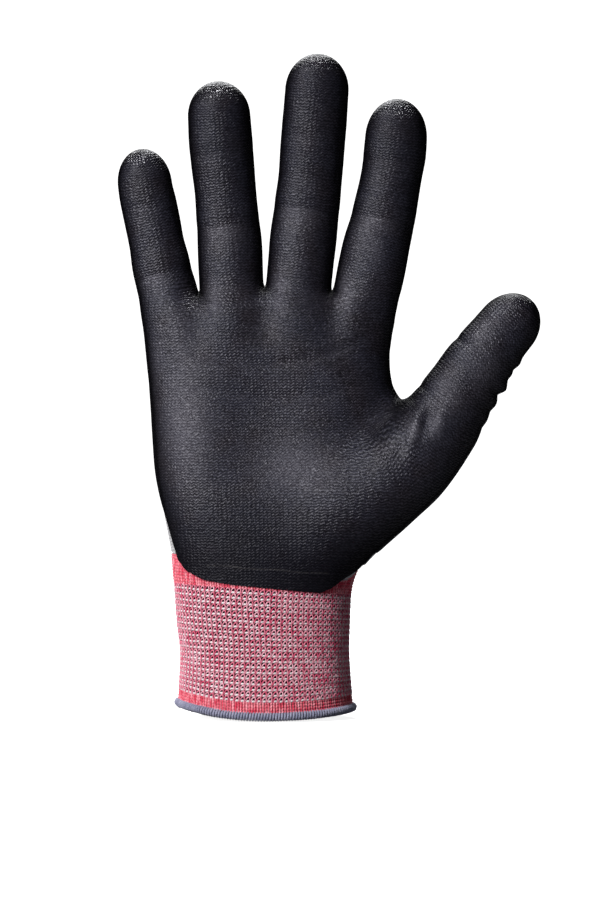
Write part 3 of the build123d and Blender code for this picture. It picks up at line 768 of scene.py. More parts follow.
class Layer:
    """One layer of the glove, handed over region by region."""

    def __init__(self, name, node_prefix, material, slot, lift_out, lift_in, has_lip):
        self.name, self.node_prefix, self.material, self.slot = name, node_prefix, material, slot
        self.lift_out, self.lift_in, self.has_lip = lift_out, lift_in, has_lip

    def shell(self, name, verts, data, tris):
        """A closed shell: the layer's outside, its inside and the rim between them."""
        used, tris = np.unique(tris, return_inverse=True)[0], np.searchsorted(
            np.unique(tris), tris)
        verts, data = verts[used], data[used]
        normals = unit(data[:, NORMAL])
        n = len(verts)
        points = np.vstack([verts + normals * self.lift_out(data)[:, None],
                            verts + normals * self.lift_in(data)[:, None]])
        a, b = border(tris).T
        rim = np.vstack([np.stack([b, a, a + n], 1), np.stack([b, a + n, b + n], 1)])
        faces = np.vstack([tris, tris[:, ::-1] + n, rim])
        both = np.vstack([normals, -normals])
        loops = both[faces]
        p, q, r = (points[rim[:, i]] for i in range(3))
        flat = np.cross(q - p, r - p)
        size = np.linalg.norm(flat, axis=1, keepdims=True)
        flat = np.where(size > 1e-9, flat / np.maximum(size, 1e-9), both[rim[:, 0]])
        loops[-len(rim):] = flat[:, None, :]
        data = np.vstack([data, data])
        at = data[faces]
        palm_side = at[:, :, SIDE].mean(1) > 0
        u = np.where(palm_side[:, None], at[:, :, PALM_U], at[:, :, BACK_U])
        knit = np.stack([u, at[:, :, KNIT_V], np.zeros_like(u)], -1).reshape(-1, 3)
        point = {"rest": data[:, REST], "lip": data[:, LIP],
                 "inner": np.concatenate([np.zeros(n), np.ones(n)]),
                 "glow": data[:, GLOW], "tip": data[:, TIP], "rub": data[:, RUB_AND_HIGHLIGHT]}
        return make_mesh(name, points, faces, [self.material], point,
                         corner={"knit": knit}, normals=loops)

    def piece(self, verts, data, tris, region, bodies, zone=None, nodes=()):
        if len(tris) == 0:     # a layer may not reach into every region
            return
        obj = self.shell(f"{self.name}_{region}", verts, data, tris)
        if zone is None:
            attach(obj, *bodies)
        else:
            blend_zone(obj)
        if nodes:
            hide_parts(*nodes)

    def chain(self, verts, data, tris, name, stall, parts, cuts, bends):
        """A stall's regions from its root up. parts: region, body; bends: from and to."""
        below = "hand"
        for i, (region, part) in enumerate(parts):
            mine, rest = tris, None
            if i < len(cuts):
                s = stall.measure(verts) - cuts[i]
                verts, data, mine, rest = clip(verts, data, tris, s)
            body = f"{name}_{part}"
            zone = [stall.at(t) for t in bends[i]]
            self.piece(verts, data, mine, f"{name}_{region}", (below, body), zone,
                       [f"{self.node_prefix}_{body}"])
            below, tris = body, rest

    def finger(self, verts, data, tris, name, root):
        stall = STALLS[name]
        c0, c1, c2 = stall.cuts
        pivot = np.array(JOINT[f"{name}_end"]["pos_m"]) * 1000
        # the last bend reaches as far past its joint as it starts before it
        last = min(2 * stall.along(pivot, 0, stall.length) - c2, stall.length - 9)
        bends = [(root + 0.35, c0 - 0.35)]
        bends += [(a + 0.5, b - 0.5) for a, b in ((c0, c1), (c1, c2), (c2, last))]
        parts = (("root", "root"), ("knuckle", "proximal"), ("middle", "middle"),
                 ("end", "distal"))
        self.chain(verts, data, tris, name, stall, parts, stall.cuts, bends)

    def hand_over(self, verts, data, tris):
        """Cuts the layer at the ends of every bending zone; the hand's region is attached to its
        body, the other parts are left in place.
        """
        verts, data, low, tris = clip(verts, data, tris, verts[:, 2] - Z_WRIST)
        if self.has_lip:
            self.piece(verts, data, low, "lip", ("cuff", "wrist"), WRIST_FLEX, ["coat_tongue"])
        verts, data, low, tris = clip(verts, data, tris, verts[:, 2] - Z_HAND)
        self.piece(verts, data, low, "wrist", ("wrist", "hand"), ((0, 0, 50.5), (0, 0, 65.5)))
        for name, stall in STALLS.items():
            root = root_cut(name)
            s = np.where(finger_vertices(name, verts), stall.measure(verts) - root, -5.0)
            verts, data, tris, up = clip(verts, data, tris, s)
            self.finger(verts, data, up, name, root)
        s = np.full(len(verts), -50.0)
        near = (verts[:, 0] > 49) & (verts[:, 2] > 95)
        points = verts[near]
        on_thumb = THUMB.field(points) < hand_field(*points.T) + 2
        s[near] = np.where(on_thumb, THUMB.measure(points), -50.0)
        verts, data, tris, up = clip(verts, data, tris, s - THUMB_CUTS[0])
        self.piece(verts, data, tris, "hand", ("hand",), nodes=[f"{self.node_prefix}_hand"])
        c0, c1, c2 = THUMB_CUTS
        bends = [(c0 + 0.4, c1 - 0.4), (c1 + 0.5, c2 - 0.6), (c2 + 0.6, 46.5)]
        parts = (("root", "root"), ("knuckle", "proximal"), ("end", "distal"))
        self.chain(verts, data, up, "thumb", THUMB, parts, (c1, c2), bends)


def liner_top(data):
    """The liner dives under the red band where the two are knitted together."""
    x, _, z = data[:, REST].T
    over = z + ROW_LEAN * x - BAND_TOP
    return -0.95 * (1 - step(over, -0.6, 0.5)) * (1 - step(x, 36.5, 39.0))


def coat_top(data):
    """The coating's face thins to a rounded edge."""
    inward = np.clip(data[:, LIP] / 1.3, 0, 1)
    return COAT_EDGE_T + (COAT_T - COAT_EDGE_T) * np.sqrt(np.clip(1 - (1 - inward) ** 2, 0, 1))


def build_fabric(liner_material, coating_material):
    verts, normals, tris = hand_surface()
    data = dress(verts, normals)
    liner = Layer("liner", "liner", liner_material, "liner_knit", lift_out=liner_top,
                  lift_in=lambda data: liner_top(data) - LINER_T, has_lip=False)
    liner.hand_over(verts, data, tris)
    # along the cuff the coating's edge follows the stitches
    scallop = (0.28 * np.abs(np.sin(math.pi * data[:, PALM_U] / 2.1))
               * step(-verts[:, 2], -70, -60))
    verts, data, _, tris = clip(verts, data, tris, data[:, LIP] - scallop)
    data[:, LIP] = np.maximum(data[:, LIP], 0)
    coating = Layer("coating", "coat", coating_material, "foam_coating", lift_out=coat_top,
                    lift_in=lambda data: 0 * data[:, LIP] - COAT_EDGE_T, has_lip=True)
    coating.hand_over(verts, data, tris)


# ------------------------------------------------------------------ shader graphs
class Value:
    """A shader output. Arithmetic on it adds Math nodes."""

    def __init__(self, graph, socket):
        self.math, self.socket = graph.math, socket

    def __add__(self, other):
        return self.math("ADD", self, other)

    def __radd__(self, other):
        return self.math("ADD", other, self)

    def __sub__(self, other):
        return self.math("SUBTRACT", self, other)

    def __rsub__(self, other):
        return self.math("SUBTRACT", other, self)

    def __mul__(self, other):
        return self.math("MULTIPLY", self, other)

    def __rmul__(self, other):
        return self.math("MULTIPLY", other, self)

    def __truediv__(self, other):
        return self.math("DIVIDE", self, other)

    def __pow__(self, other):
        return self.math("POWER", self, other)

    def __abs__(self):
        return self.math("ABSOLUTE", self)


class Graph:
    """The node tree of a material or a world."""

    def __init__(self, owner):
        owner.use_nodes = True
        self.owner, self.tree = owner, owner.node_tree
        self.tree.nodes.clear()

    def new(self, kind, inputs, **settings):
        """A node. Three numbers given to an input are an opaque colour."""
        node = self.tree.nodes.new("ShaderNode" + kind)
        for key, value in settings.items():
            setattr(node, key, value)
        for key, value in inputs.items():
            if isinstance(value, Value):
                self.tree.links.new(value.socket, node.inputs[key])
            elif value is not None:
                if isinstance(value, tuple) and len(value) == 3:
                    value = value + (1,)
                node.inputs[key].default_value = value
        return node

    def out(self, kind, inputs=None, output=0, **settings):
        return Value(self, self.new(kind, inputs or {}, **settings).outputs[output])

    def math(self, operation, a, b=None, clamp=False):
        return self.out("Math", {0: a, 1: b}, operation=operation, use_clamp=clamp)

    def fract(self, a):
        return self.math("FRACT", a)

    def attribute(self, name, output="Fac"):
        return self.out("Attribute", output=output, attribute_name=name)

    def xyz(self, vector):
        return [Value(self, s) for s in self.new("SeparateXYZ", {0: vector}).outputs]

    def vector(self, x, y, z):
        return self.out("CombineXYZ", {0: x, 1: y, 2: z})

    def noise(self, vector, scale, detail=2.0, rough=0.5):
        inputs = {"Vector": vector, "Scale": scale, "Detail": detail, "Roughness": rough}
        return self.out("TexNoise", inputs, "Fac")

    def mix(self, factor, under, over):
        return self.out("Mix", {0: factor, 6: under, 7: over}, 2, data_type="RGBA")

    def fade(self, value, start, end, first=0.0, last=1.0):
        """Runs from first to last as the value goes from start to end."""
        inputs = {0: value, 1: start, 2: end, 3: first, 4: last}
        return self.out("MapRange", inputs, clamp=True)

    def bump(self, height, strength, distance, normal=None):
        return self.out("Bump", {"Height": height, "Strength": strength,
                                 "Distance": distance, "Normal": normal})

    def principled(self, inputs):
        """Finishes a material and returns it."""
        self.new("OutputMaterial", {0: self.out("BsdfPrincipled", inputs)})
        return self.owner


def coating_material():
    g = Graph(bpy.data.materials.new("dipped_foam"))
    rest = g.attribute("rest", "Vector")
    knit = g.xyz(g.attribute("knit", "Vector"))
    wander = g.noise(rest, scale=0.30, detail=2.0, rough=0.6) - 0.5
    wale_width, course_height = 1.5, 1.08
    wale = knit[0] / wale_width + wander * 1.1
    course = knit[1] / course_height + wander * 1.6
    # the knit's courses show through the foam as zigzag ridges, fuller in some stitches
    zigzag = abs(g.fract(wale) - 0.5) * 0.85
    ridge = 0.5 + 0.5 * g.math("COSINE", (course + zigzag) * 6.2832)
    stitch = g.noise(rest, scale=0.85, detail=2.0, rough=0.6)
    patch = g.noise(rest, scale=0.06, detail=2.0)
    full = g.fade(stitch * 0.75 + patch * 0.25, start=0.36, end=0.64, first=0.25)
    relief = ridge * full
    grain = g.noise(rest, scale=1.15, detail=3.0, rough=0.6)
    pores = g.noise(rest, scale=4.5, detail=2.0, rough=0.55)
    height = relief * 0.75 + (grain * 0.8 + pores * 0.16)
    # painted shade: near-black where the knit's relief is low, under slightly paler tops, both
    # drifting in hue
    tone = g.noise(rest, scale=0.08, detail=3.0, rough=0.55)
    painted_hollow_shade = g.mix(g.fade(tone, start=0.35, end=0.65),
                    under=(0.0042, 0.0036, 0.0048), over=(0.0040, 0.0040, 0.0064))
    tops = g.mix(g.fade(tone, start=0.35, end=0.65),
                 under=(0.0250, 0.0215, 0.0300), over=(0.0220, 0.0225, 0.0370))
    peak = g.fade(relief * 0.7 + grain * 0.8, start=0.35, end=1.05)
    color = g.mix(peak, painted_hollow_shade, tops)
    blotch = g.noise(rest, scale=0.16, detail=4.0, rough=0.65)
    scuff = g.fade(blotch, start=0.52, end=0.72, last=0.3)
    color = g.mix(scuff, color, over=(0.026, 0.024, 0.032))
    # where the fabric folds and stretches over a joint the foam is rubbed a little greyer; the
    # same mix paints highlights where the light falls on the palm, the thumb and below the finger
    # creases
    rub = g.attribute("rub") * g.fade(grain, start=0.3, end=0.65, first=0.35, last=1.25)
    color = g.mix(g.math("MULTIPLY", rub, 0.6, clamp=True), color, over=(0.080, 0.077, 0.094))
    rim = g.fade(g.attribute("lip"), start=0.0, end=1.6, first=1.0, last=0.0)
    color = g.mix(rim * 0.55, color, over=(0.008, 0.007, 0.009))
    # the broken pale line above the lower edge
    line = g.math("SUBTRACT", 1.0, abs(g.attribute("glow")) * 2.2, clamp=True)
    broken = g.fade(g.noise(rest, scale=0.9, detail=2.0), start=0.35, end=0.6)
    color = g.mix(line * broken * 0.6, color, over=(0.17, 0.16, 0.16))
    # duller over the heel of the hand, next to the coating's edge
    heel = (g.fade(g.xyz(rest)[2], start=58.0, end=84.0, first=1.0, last=0.0)
            * g.fade(g.xyz(rest)[1], start=-9.0, end=-3.0, first=1.0, last=0.0))
    color = g.mix(heel * 0.72, color, over=(0.004, 0.004, 0.006))
    # and darker towards the fingertips
    far = g.fade(g.xyz(rest)[2], start=168.0, end=214.0, last=0.34)
    color = g.mix(far, color, over=(0.004, 0.004, 0.006))
    # painted shade: seen edge-on, the colour is made near-black along the silhouettes
    facing = g.out("LayerWeight", {"Blend": 0.5}, "Facing")
    painted_edge_shade = g.fade(facing, start=0.17, end=0.60, last=0.96)
    color = g.mix(painted_edge_shade, color, over=(0.0012, 0.0011, 0.0016))
    # rims and fingertips are smoother; tips keep more of their shine
    tip = g.attribute("tip")
    rough = g.fade(tone, start=0.3, end=0.7, first=0.34, last=0.42) + scuff * 0.12
    rough = rough - (rim * 0.08 + tip * 0.20)
    dull = heel * 0.72 + far * (0.8 - tip * 1.2)
    shine = g.fade(peak, start=0.0, end=1.0, first=0.13, last=0.56) * (1.0 - dull)
    shine = shine * (1.0 - painted_edge_shade * (1.0 - tip * 0.6))
    return g.principled({
        "Base Color": color, "Roughness": rough, "Specular IOR Level": shine,
        "Specular Tint": (0.90, 0.90, 1.0),
        "Normal": g.bump(height, strength=0.95, distance=0.00030)})


def jersey_stitches(g):
    """Jersey seen from its face: columns of V stitches, 0 to 1 high, with wale and course."""
    wale_width, course_height, slant = 1.42, 1.1, 0.42
    knit = g.xyz(g.attribute("knit", "Vector"))
    wander = g.noise(g.attribute("rest", "Vector"), scale=0.35, detail=1.0)
    wale = knit[0] / wale_width + (wander - 0.5) * 0.5
    course = knit[1] / course_height + (wander - 0.5) * 0.9
    off_middle = abs(g.fract(wale) - 0.5)       # 0 mid wale, 0.5 between wales
    off_leg = abs(off_middle - 0.25)            # 0 on a leg's middle
    up = g.fract(course + off_middle * (-2 * slant))
    across = g.math("SUBTRACT", 1.0, (off_leg * 4.0) ** 2.2, clamp=True)
    along = g.math("SUBTRACT", 1.0, (abs(up - 0.5) * 2.0) ** 2.0, clamp=True)
    return across * along, wale, course


def liner_material():
    g = Graph(bpy.data.materials.new("grey_jersey"))
    rest = g.attribute("rest", "Vector")
    stitch, wale, course = jersey_stitches(g)
    fibre = g.noise(rest, scale=9.0, detail=3.0, rough=0.6)
    tone = g.noise(rest, scale=0.12, detail=3.0, rough=0.6)
    # thick and thin yarn, drawn out along each course
    slub = g.noise(g.vector(wale * 0.16, g.math("FLOOR", course), 0.0), scale=1.0, detail=1.0)
    light = g.mix(g.fade(tone, start=0.3, end=0.7),
                  under=(0.56, 0.56, 0.585), over=(0.66, 0.66, 0.675))
    light = g.mix(g.fade(slub, start=0.5, end=0.75, last=0.5), light, over=(0.43, 0.43, 0.47))
    # painted shade in the hollows between the stitches
    painted_stitch_shade = g.fade(stitch, start=0.0, end=0.55, first=1.0, last=0.0)
    color = g.mix(painted_stitch_shade, light, over=(0.21, 0.205, 0.225))
    color = g.mix(g.fade(fibre, start=0.55, end=0.8, last=0.25), color, over=(0.78, 0.78, 0.78))
    # foam that struck through the knit beside the coating's edge
    strike = (g.fade(g.attribute("lip"), start=-2.6, end=-0.2)
              * g.fade(g.noise(rest, scale=1.6, detail=3.0), start=0.4, end=0.6))
    color = g.mix(strike * 0.55, color, over=(0.07, 0.066, 0.08))
    soft = g.bump(g.noise(rest, scale=0.25, detail=2.0), strength=0.3, distance=0.0012)
    return g.principled({
        "Base Color": color, "Roughness": 0.82, "Specular IOR Level": 0.3,
        "Sheen Weight": 0.35, "Sheen Roughness": 0.5,
        "Normal": g.bump(stitch + fibre * 0.22, strength=0.9, distance=0.00035, normal=soft)})


def yarn_material(name, dark, mid, pale, rough=0.72, pale_from=0.36):
    """Spun yarn: colour varies along the thread, with its plies as a fine slanting bump and
    painted shade in the grooves between them.
    """
    g = Graph(bpy.data.materials.new(name))
    along, around, which = g.xyz(g.attribute("thread", "Vector"))
    rest = g.attribute("rest", "Vector")
    ply = g.math("SINE", (along * 2.2 + around) * 6.2832)
    fibre = g.noise(rest, scale=8.0, detail=3.0, rough=0.6)
    vary = g.noise(g.vector(along * 0.35, 0.0, which * 3.7), scale=1.0, detail=2.0)
    broad = g.noise(rest, scale=0.2, detail=2.0)
    color = g.mix(g.fade(vary * 0.7 + broad * 0.3, start=pale_from, end=0.66), mid, pale)
    # painted shade in the grooves between the plies
    color = g.mix(g.fade(ply, start=-1.0, end=0.2, first=0.55, last=0.0), color, dark)
    color = g.mix(g.fade(fibre, start=0.58, end=0.8, last=0.3), color, pale)
    return g.principled({
        "Base Color": color, "Roughness": rough, "Specular IOR Level": 0.35,
        "Sheen Weight": 0.25, "Sheen Roughness": 0.5,
        "Normal": g.bump(ply + fibre, strength=0.55, distance=0.00008)})


def plain_knit_material(name, dark, mid, pale):
    """Knit whose stitches are modelled, with painted shade making it dark where its relief is low.
    """
    g = Graph(bpy.data.materials.new(name))
    rest = g.attribute("rest", "Vector")
    knit = g.xyz(g.attribute("knit", "Vector"))
    fibre = g.noise(rest, scale=8.0, detail=3.0, rough=0.6)
    streaks = g.vector(knit[0] * 1.9, knit[1] * 0.22, 0.0)
    vary = g.noise(streaks, scale=1.0, detail=2.0)
    color = g.mix(g.fade(vary, start=0.42, end=0.68, last=0.9), mid, pale)
    # painted shade in the hollows between the modelled stitches
    low = g.fade(g.attribute("relief"), start=0.0, end=0.6, first=1.0, last=0.0)
    color = g.mix(low, color, dark)
    color = g.mix(g.fade(fibre, start=0.58, end=0.8, last=0.3), color, pale)
    return g.principled({
        "Base Color": color, "Roughness": 0.78, "Specular IOR Level": 0.3,
        "Sheen Weight": 0.25, "Normal": g.bump(fibre, strength=0.5, distance=0.0001)})


# ------------------------------------------------------------------ the cuff
RNG = np.random.default_rng(7)
SIDES = 6                      # round a thread
UP = np.array([0, 0, 1.0])

# the angle on an ellipse at even steps of its girth
ellipse_angle = np.linspace(0, TURN, 1441)
ellipse_run = np.concatenate([[0], np.cumsum(np.hypot(np.diff(32 * np.cos(ellipse_angle)),
                                                      np.diff(22.6 * np.sin(ellipse_angle))))])
even_angle = ellipse_run / ellipse_run[-1] * TURN


def tilted(x, z):
    """The rows sit level at the hem and lean towards the thumb side by the cuff's top."""
    return z - ROW_LEAN * x * np.clip((z - 5.0) / 43.5, 0, 1.0)


def rise(x, z):
    """The hem rides up at the sides of the wrist and hangs level across front and back."""
    X = x / CUFF_HALF
    return (3.1 * X**2 - 1.0 * X * np.abs(X)) * (1 - step(z, 2.5, 27.0))


def under_coat(x, y, z):
    """How far something on the cuff must sink to lie beneath the coating."""
    edge = np.interp(x, *DIP_EDGE.T)
    return 0.85 * step(z - edge, 0.3, 1.8) * step(-y, 2.0, 6.0)


def cuff_at(phi, z, inset):
    """Point and outward normal; phi runs once round from +X, evenly along the girth."""
    z = np.broadcast_to(z, np.shape(phi)) * 1.0
    angle = np.interp(np.mod(phi, TURN), even_angle, ellipse_angle)
    cos, sin = np.cos(angle), np.sin(angle)
    z = tilted(CUFF_HALF * cos, z)
    row = CUFF(z)
    mid_x, a, power = row[..., 0], row[..., 1], row[..., 4]
    b = np.where(sin < 0, row[..., 2], row[..., 3])
    X = np.sign(cos) * np.abs(cos) ** (2 / power)
    Y = np.sign(sin) * np.abs(sin) ** (2 / power)
    normal = unit(np.stack([np.sign(X) * np.abs(X) ** (power - 1) / a,
                            np.sign(Y) * np.abs(Y) ** (power - 1) / b,
                            np.zeros_like(cos)], -1))
    point = np.stack([mid_x + a * X, b * Y, z], -1)
    inset = inset + under_coat(point[..., 0], point[..., 1], z)
    point = point - normal * inset[..., None]
    point[..., 2] += rise(point[..., 0], point[..., 2])
    return point, normal


def tubes(paths, normal, radius, closed=False, phase=0.0):
    """Round threads on (n, m, 3) paths: vertices, quads, and along, around, which thread."""
    n, m, _ = paths.shape
    if closed:
        tangent = unit(np.roll(paths, -1, 1) - np.roll(paths, 1, 1))
    else:
        tangent = unit(np.gradient(paths, axis=1))
    binormal = unit(np.cross(tangent, normal))
    normal = np.cross(binormal, tangent)
    angle = TURN * (np.arange(SIDES) / SIDES) + phase
    ring = (np.cos(angle)[:, None] * normal[:, :, None, :]
            + np.sin(angle)[:, None] * binormal[:, :, None, :])
    radius = np.broadcast_to(np.asarray(radius, float), (n, m))
    verts = paths[:, :, None, :] + ring * radius[:, :, None, None]
    index = np.arange(n * m * SIDES).reshape(n, m, SIDES)
    a = index if closed else index[:, :-1]
    b = np.roll(index, -1, 1) if closed else index[:, 1:]
    quads = np.stack([a, np.roll(a, -1, 2), np.roll(b, -1, 2), b], -1).reshape(-1, 4)
    if not closed:
        for end, turn in ((index[:, 0], -1), (index[:, -1], 1)):
            caps = np.vstack([end[:, [0, 1, 2, 3]], end[:, [0, 3, 4, 5]]])
            quads = np.vstack([quads, caps[:, ::turn]])
    last = paths[:, :1] if closed else paths[:, -1:]
    run = np.linalg.norm(np.diff(paths, axis=1, append=last), axis=2)
    run = np.concatenate([np.zeros((n, 1)), np.cumsum(run, 1)[:, :-1]], 1)
    thread = np.broadcast_arrays(run[:, :, None], (np.arange(SIDES) / SIDES)[None, None],
                                 np.arange(n)[:, None, None] * 1.0)
    return verts.reshape(-1, 3), quads, np.stack([part.ravel() for part in thread], -1)


def cuff_tube(name, z0, z1, inset_out, inset_in, levels, material, per_col, relief=None):
    """A closed tube wall; relief(column, z) lifts its outside. per_col: steps to a column."""
    n = COLS * per_col
    phi, z = np.meshgrid(TURN * np.arange(n) / n, np.linspace(z0, z1, levels), indexing="ij")
    girth = phi / TURN * COLS
    lift = relief(girth, z) if relief else np.zeros_like(z)
    lift = lift * np.clip(np.minimum(1, np.minimum(z - z0, z1 - z) / 0.4), 0, 1)
    outer, _ = cuff_at(phi, z, inset_out - lift)
    inner, _ = cuff_at(phi, z, inset_in)
    o = np.arange(n * levels).reshape(n, levels)
    i = o + n * levels
    o_next, i_next = np.roll(o, -1, 0), np.roll(i, -1, 0)
    walls = [np.stack([o[:, :-1], o_next[:, :-1], o_next[:, 1:], o[:, 1:]], -1),
             np.stack([i[:, :-1], i[:, 1:], i_next[:, 1:], i_next[:, :-1]], -1)]
    quads = [wall.reshape(-1, 4) for wall in walls]
    for k, turn in ((0, -1), (levels - 1, 1)):
        rim = np.stack([o[:, k], o_next[:, k], i_next[:, k], i[:, k]], -1)
        quads.append(rim[:, ::turn])
    verts = np.vstack([outer.reshape(-1, 3), inner.reshape(-1, 3)])
    height = np.concatenate([(lift / max(lift.max(), 1e-6)).ravel(), np.full(n * levels, 0.6)])
    knit = np.stack([np.tile(girth.ravel(), 2), np.tile(z.ravel(), 2),
                     np.zeros(2 * n * levels)], -1)
    return make_mesh(name, verts, np.vstack(quads), [material],
                     {"relief": height, "rest": verts, "knit": knit})


def v_stitches(height, row=1.15):
    def relief(column, z):
        off_middle = np.abs(np.mod(column, 1.0) - 0.5)
        leg = 1 - np.clip(np.abs(off_middle - 0.25) / 0.25, 0, 1) ** 2
        up = np.mod(z / row - 0.9 * off_middle, 1.0)
        bump = 1 - (2 * np.abs(up - 0.5)) ** 2.2
        return height * leg * (0.25 + 0.75 * bump)
    return relief


# one red loop: place across its column, height, inset, thread radius
LOOP = np.array([
    (0.12, -0.70, 0.66, 0.20), (0.13, -0.05, 0.26, 0.25), (0.19, 0.80, 0.24, 0.26),
    (0.36, 1.36, 0.36, 0.27), (0.64, 1.36, 0.36, 0.27), (0.81, 0.80, 0.24, 0.26),
    (0.87, -0.05, 0.26, 0.25), (0.88, -0.70, 0.66, 0.20)]).T


def grey_course(row, z):
    """A grey thread all the way round, waving once to each column."""
    per_col = 6
    n = COLS * per_col
    column = np.arange(n) / per_col
    wave = np.cos(TURN * column)
    jitter = 0.05 * np.sin(0.9 * column + 1.7 * row) + 0.04 * np.sin(2.3 * column - row)
    path, normal = cuff_at(TURN * np.arange(n) / n, z - 0.13 - 0.11 * wave + jitter,
                           0.56 + 0.20 * np.cos(TURN * column + 0.2))
    radius = 0.38 - 0.06 * wave + 0.02 * np.sin(5.1 * column + row)
    verts, quads, thread = tubes(path[None], normal[None], radius[None], closed=True)
    thread[:, 2] = row * 1.3
    return verts, quads, thread


def red_course(row, z):
    """A red loop on every column."""
    across, up, inset, radius = LOOP
    RNG.standard_normal(COLS)  # unused, but it keeps the later draws in step
    column = (np.arange(COLS)[:, None] + 0.5 + (across[None] - 0.5) * 1.02
              + 0.12 * (up[None] - 0.3))
    stretch = 1 + 0.04 * RNG.standard_normal(COLS)[:, None]
    height = z + 0.02 + up[None] * stretch * 1.02 - 0.06
    inset = inset + 0.03 * RNG.standard_normal(COLS)[:, None]
    path, normal = cuff_at(column / COLS * TURN, height, inset)
    verts, quads, thread = tubes(path, normal, radius, phase=0.5)
    thread[:, 2] += row * 13.7
    return verts, quads, thread


def cuff_rows(name, first, last, materials):
    """The patterned knit: in every row a grey course below and a looped red one above."""
    verts, faces, threads, slots = [], [], [], []
    count = 0
    for row in range(first, last):
        for slot, course in enumerate((grey_course, red_course)):
            v, quads, thread = course(row, ROW_0 + ROW * row)
            verts.append(v)
            faces.append(quads + count)
            threads.append(thread)
            slots.append(np.full(len(quads), slot))
            count += len(v)
    verts = np.vstack(verts)
    obj = make_mesh(name, verts, np.vstack(faces), materials,
                    {"thread": np.vstack(threads), "rest": verts})
    obj.data.polygons.foreach_set("material_index", np.concatenate(slots).astype(np.int32))
    return obj


HEM_Z, HEM_INSET = 1.70, 0.72  # the hem roll's centre


def hem_thread(material):
    """Overlock thread wound round the cuff's edge, each wrap leaning into the next."""
    wraps, per_wrap = 168, 18
    q = TURN * np.arange(per_wrap) / per_wrap
    wrap = np.arange(wraps)[:, None]
    phi = (wrap + q[None] / TURN) / wraps * TURN
    wobble = 0.05 * np.sin(0.37 * wrap) + 0.07 * RNG.standard_normal((wraps, 1))
    radius_out, radius_up = 1.36 + wobble, 1.26 + 0.5 * wobble
    centre, normal = cuff_at(phi, HEM_Z, HEM_INSET)
    path = centre + normal * (np.cos(q)[None] * radius_out)[..., None]
    height = np.maximum(HEM_Z + np.sin(q)[None] * radius_up, 0.46)
    path[..., 2] = height + rise(centre[..., 0], 0.0)
    radial = unit(normal * np.cos(q)[None, :, None] + UP * np.sin(q)[None, :, None])
    verts, quads, thread = tubes(path.reshape(1, -1, 3), radial.reshape(1, -1, 3), 0.46,
                                 closed=True)
    return make_mesh("hem_overlock_thread", verts, quads, [material],
                     {"thread": thread, "rest": verts})


def hem_core(material):
    """The padded core under the wraps."""
    n, sides = 4 * COLS, 14
    centre, normal = cuff_at(TURN * np.arange(n) / n, HEM_Z, HEM_INSET)
    centre[..., 2] = HEM_Z
    angle = TURN * np.arange(sides) / sides
    ring = (centre[:, None] + normal[:, None] * (1.26 * np.cos(angle))[None, :, None]
            + UP * (1.2 * np.sin(angle))[None, :, None])
    ring[..., 2] = np.maximum(ring[..., 2], 0.36)
    ring[..., 2] += rise(centre[:, 0], 0.0)[:, None]
    index = np.arange(n * sides).reshape(n, sides)
    ahead, up = np.roll(index, -1, 0), np.roll(index, -1, 1)
    quads = np.stack([index, up, np.roll(ahead, -1, 1), ahead], -1).reshape(-1, 4)
    verts = ring.reshape(-1, 3)
    return make_mesh("hem_core", verts, quads[:, ::-1], [material],
                     {"rest": verts, "thread": np.zeros((n * sides, 3))})


def build_cuff(yarns, red_knit, backing_painted_shade, hem):
    """Red band over the hem, patterned rows on a near-black backing tube whose colour is painted
    shade, red band under the hand.
    """
    lower = cuff_rows("cuff_knit_lower", 0, ROWS_LOW, yarns)
    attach(lower, "cuff")
    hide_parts("cuff_knit")
    upper = cuff_rows("cuff_knit_upper", ROWS_LOW, ROWS, yarns)
    blend_zone(upper)
    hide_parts("cuff_upper_knit")

    # a backing tube under the rows; its near-black outer face is painted shade, seen through the
    # holes between the loops
    wall = dict(inset_out=0.80, inset_in=1.35, material=backing_painted_shade, per_col=2)
    lower = cuff_tube("cuff_ground_lower", 3.0, CUFF_SPLIT, levels=12, **wall)
    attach(lower, "cuff")
    upper = cuff_tube("cuff_ground_upper", CUFF_SPLIT, ROWS_TOP + 1.0, levels=24, **wall)
    blend_zone(upper)

    band = cuff_tube("cuff_band_hem", 2.2, ROW_0 + 0.1, inset_out=0.62, inset_in=1.0,
                     levels=26, material=red_knit, per_col=10, relief=v_stitches(0.52))
    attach(band, "cuff")
    band = cuff_tube("cuff_band_wrist", ROWS_TOP - 0.9, BAND_TOP, inset_out=0.42, inset_in=1.1,
                     levels=58, material=red_knit, per_col=10, relief=v_stitches(0.50))
    blend_zone(band)
    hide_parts("cuff_top_band")

    thread, core = hem_thread(hem), hem_core(hem)
    for obj in (thread, core):
        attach(obj, "cuff")
    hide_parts("cuff_hem")


# ------------------------------------------------------------------ stage, in metres
def floor_material():
    """A bright sweep to look at, which throws only a little light back on the glove."""
    g = Graph(bpy.data.materials.new("studio_floor"))
    x, y, _ = g.xyz(g.out("NewGeometry", output="Position"))
    radius = g.math("SQRT", x * x + y * y)
    glow = g.fade(radius, start=0.3, end=1.1, first=0.88, last=1.02)
    seen = g.out("AddShader", {0: g.out("BsdfDiffuse", {0: (0.86, 0.86, 0.86)}),
                               1: g.out("Emission", {0: (1, 1, 1), 1: glow})})
    lit = g.out("BsdfDiffuse", {0: (0.13, 0.13, 0.14)})
    camera_ray = g.out("LightPath", output="Is Camera Ray")
    g.new("OutputMaterial", {0: g.out("MixShader", {0: camera_ray, 1: lit, 2: seen})})
    return g.owner


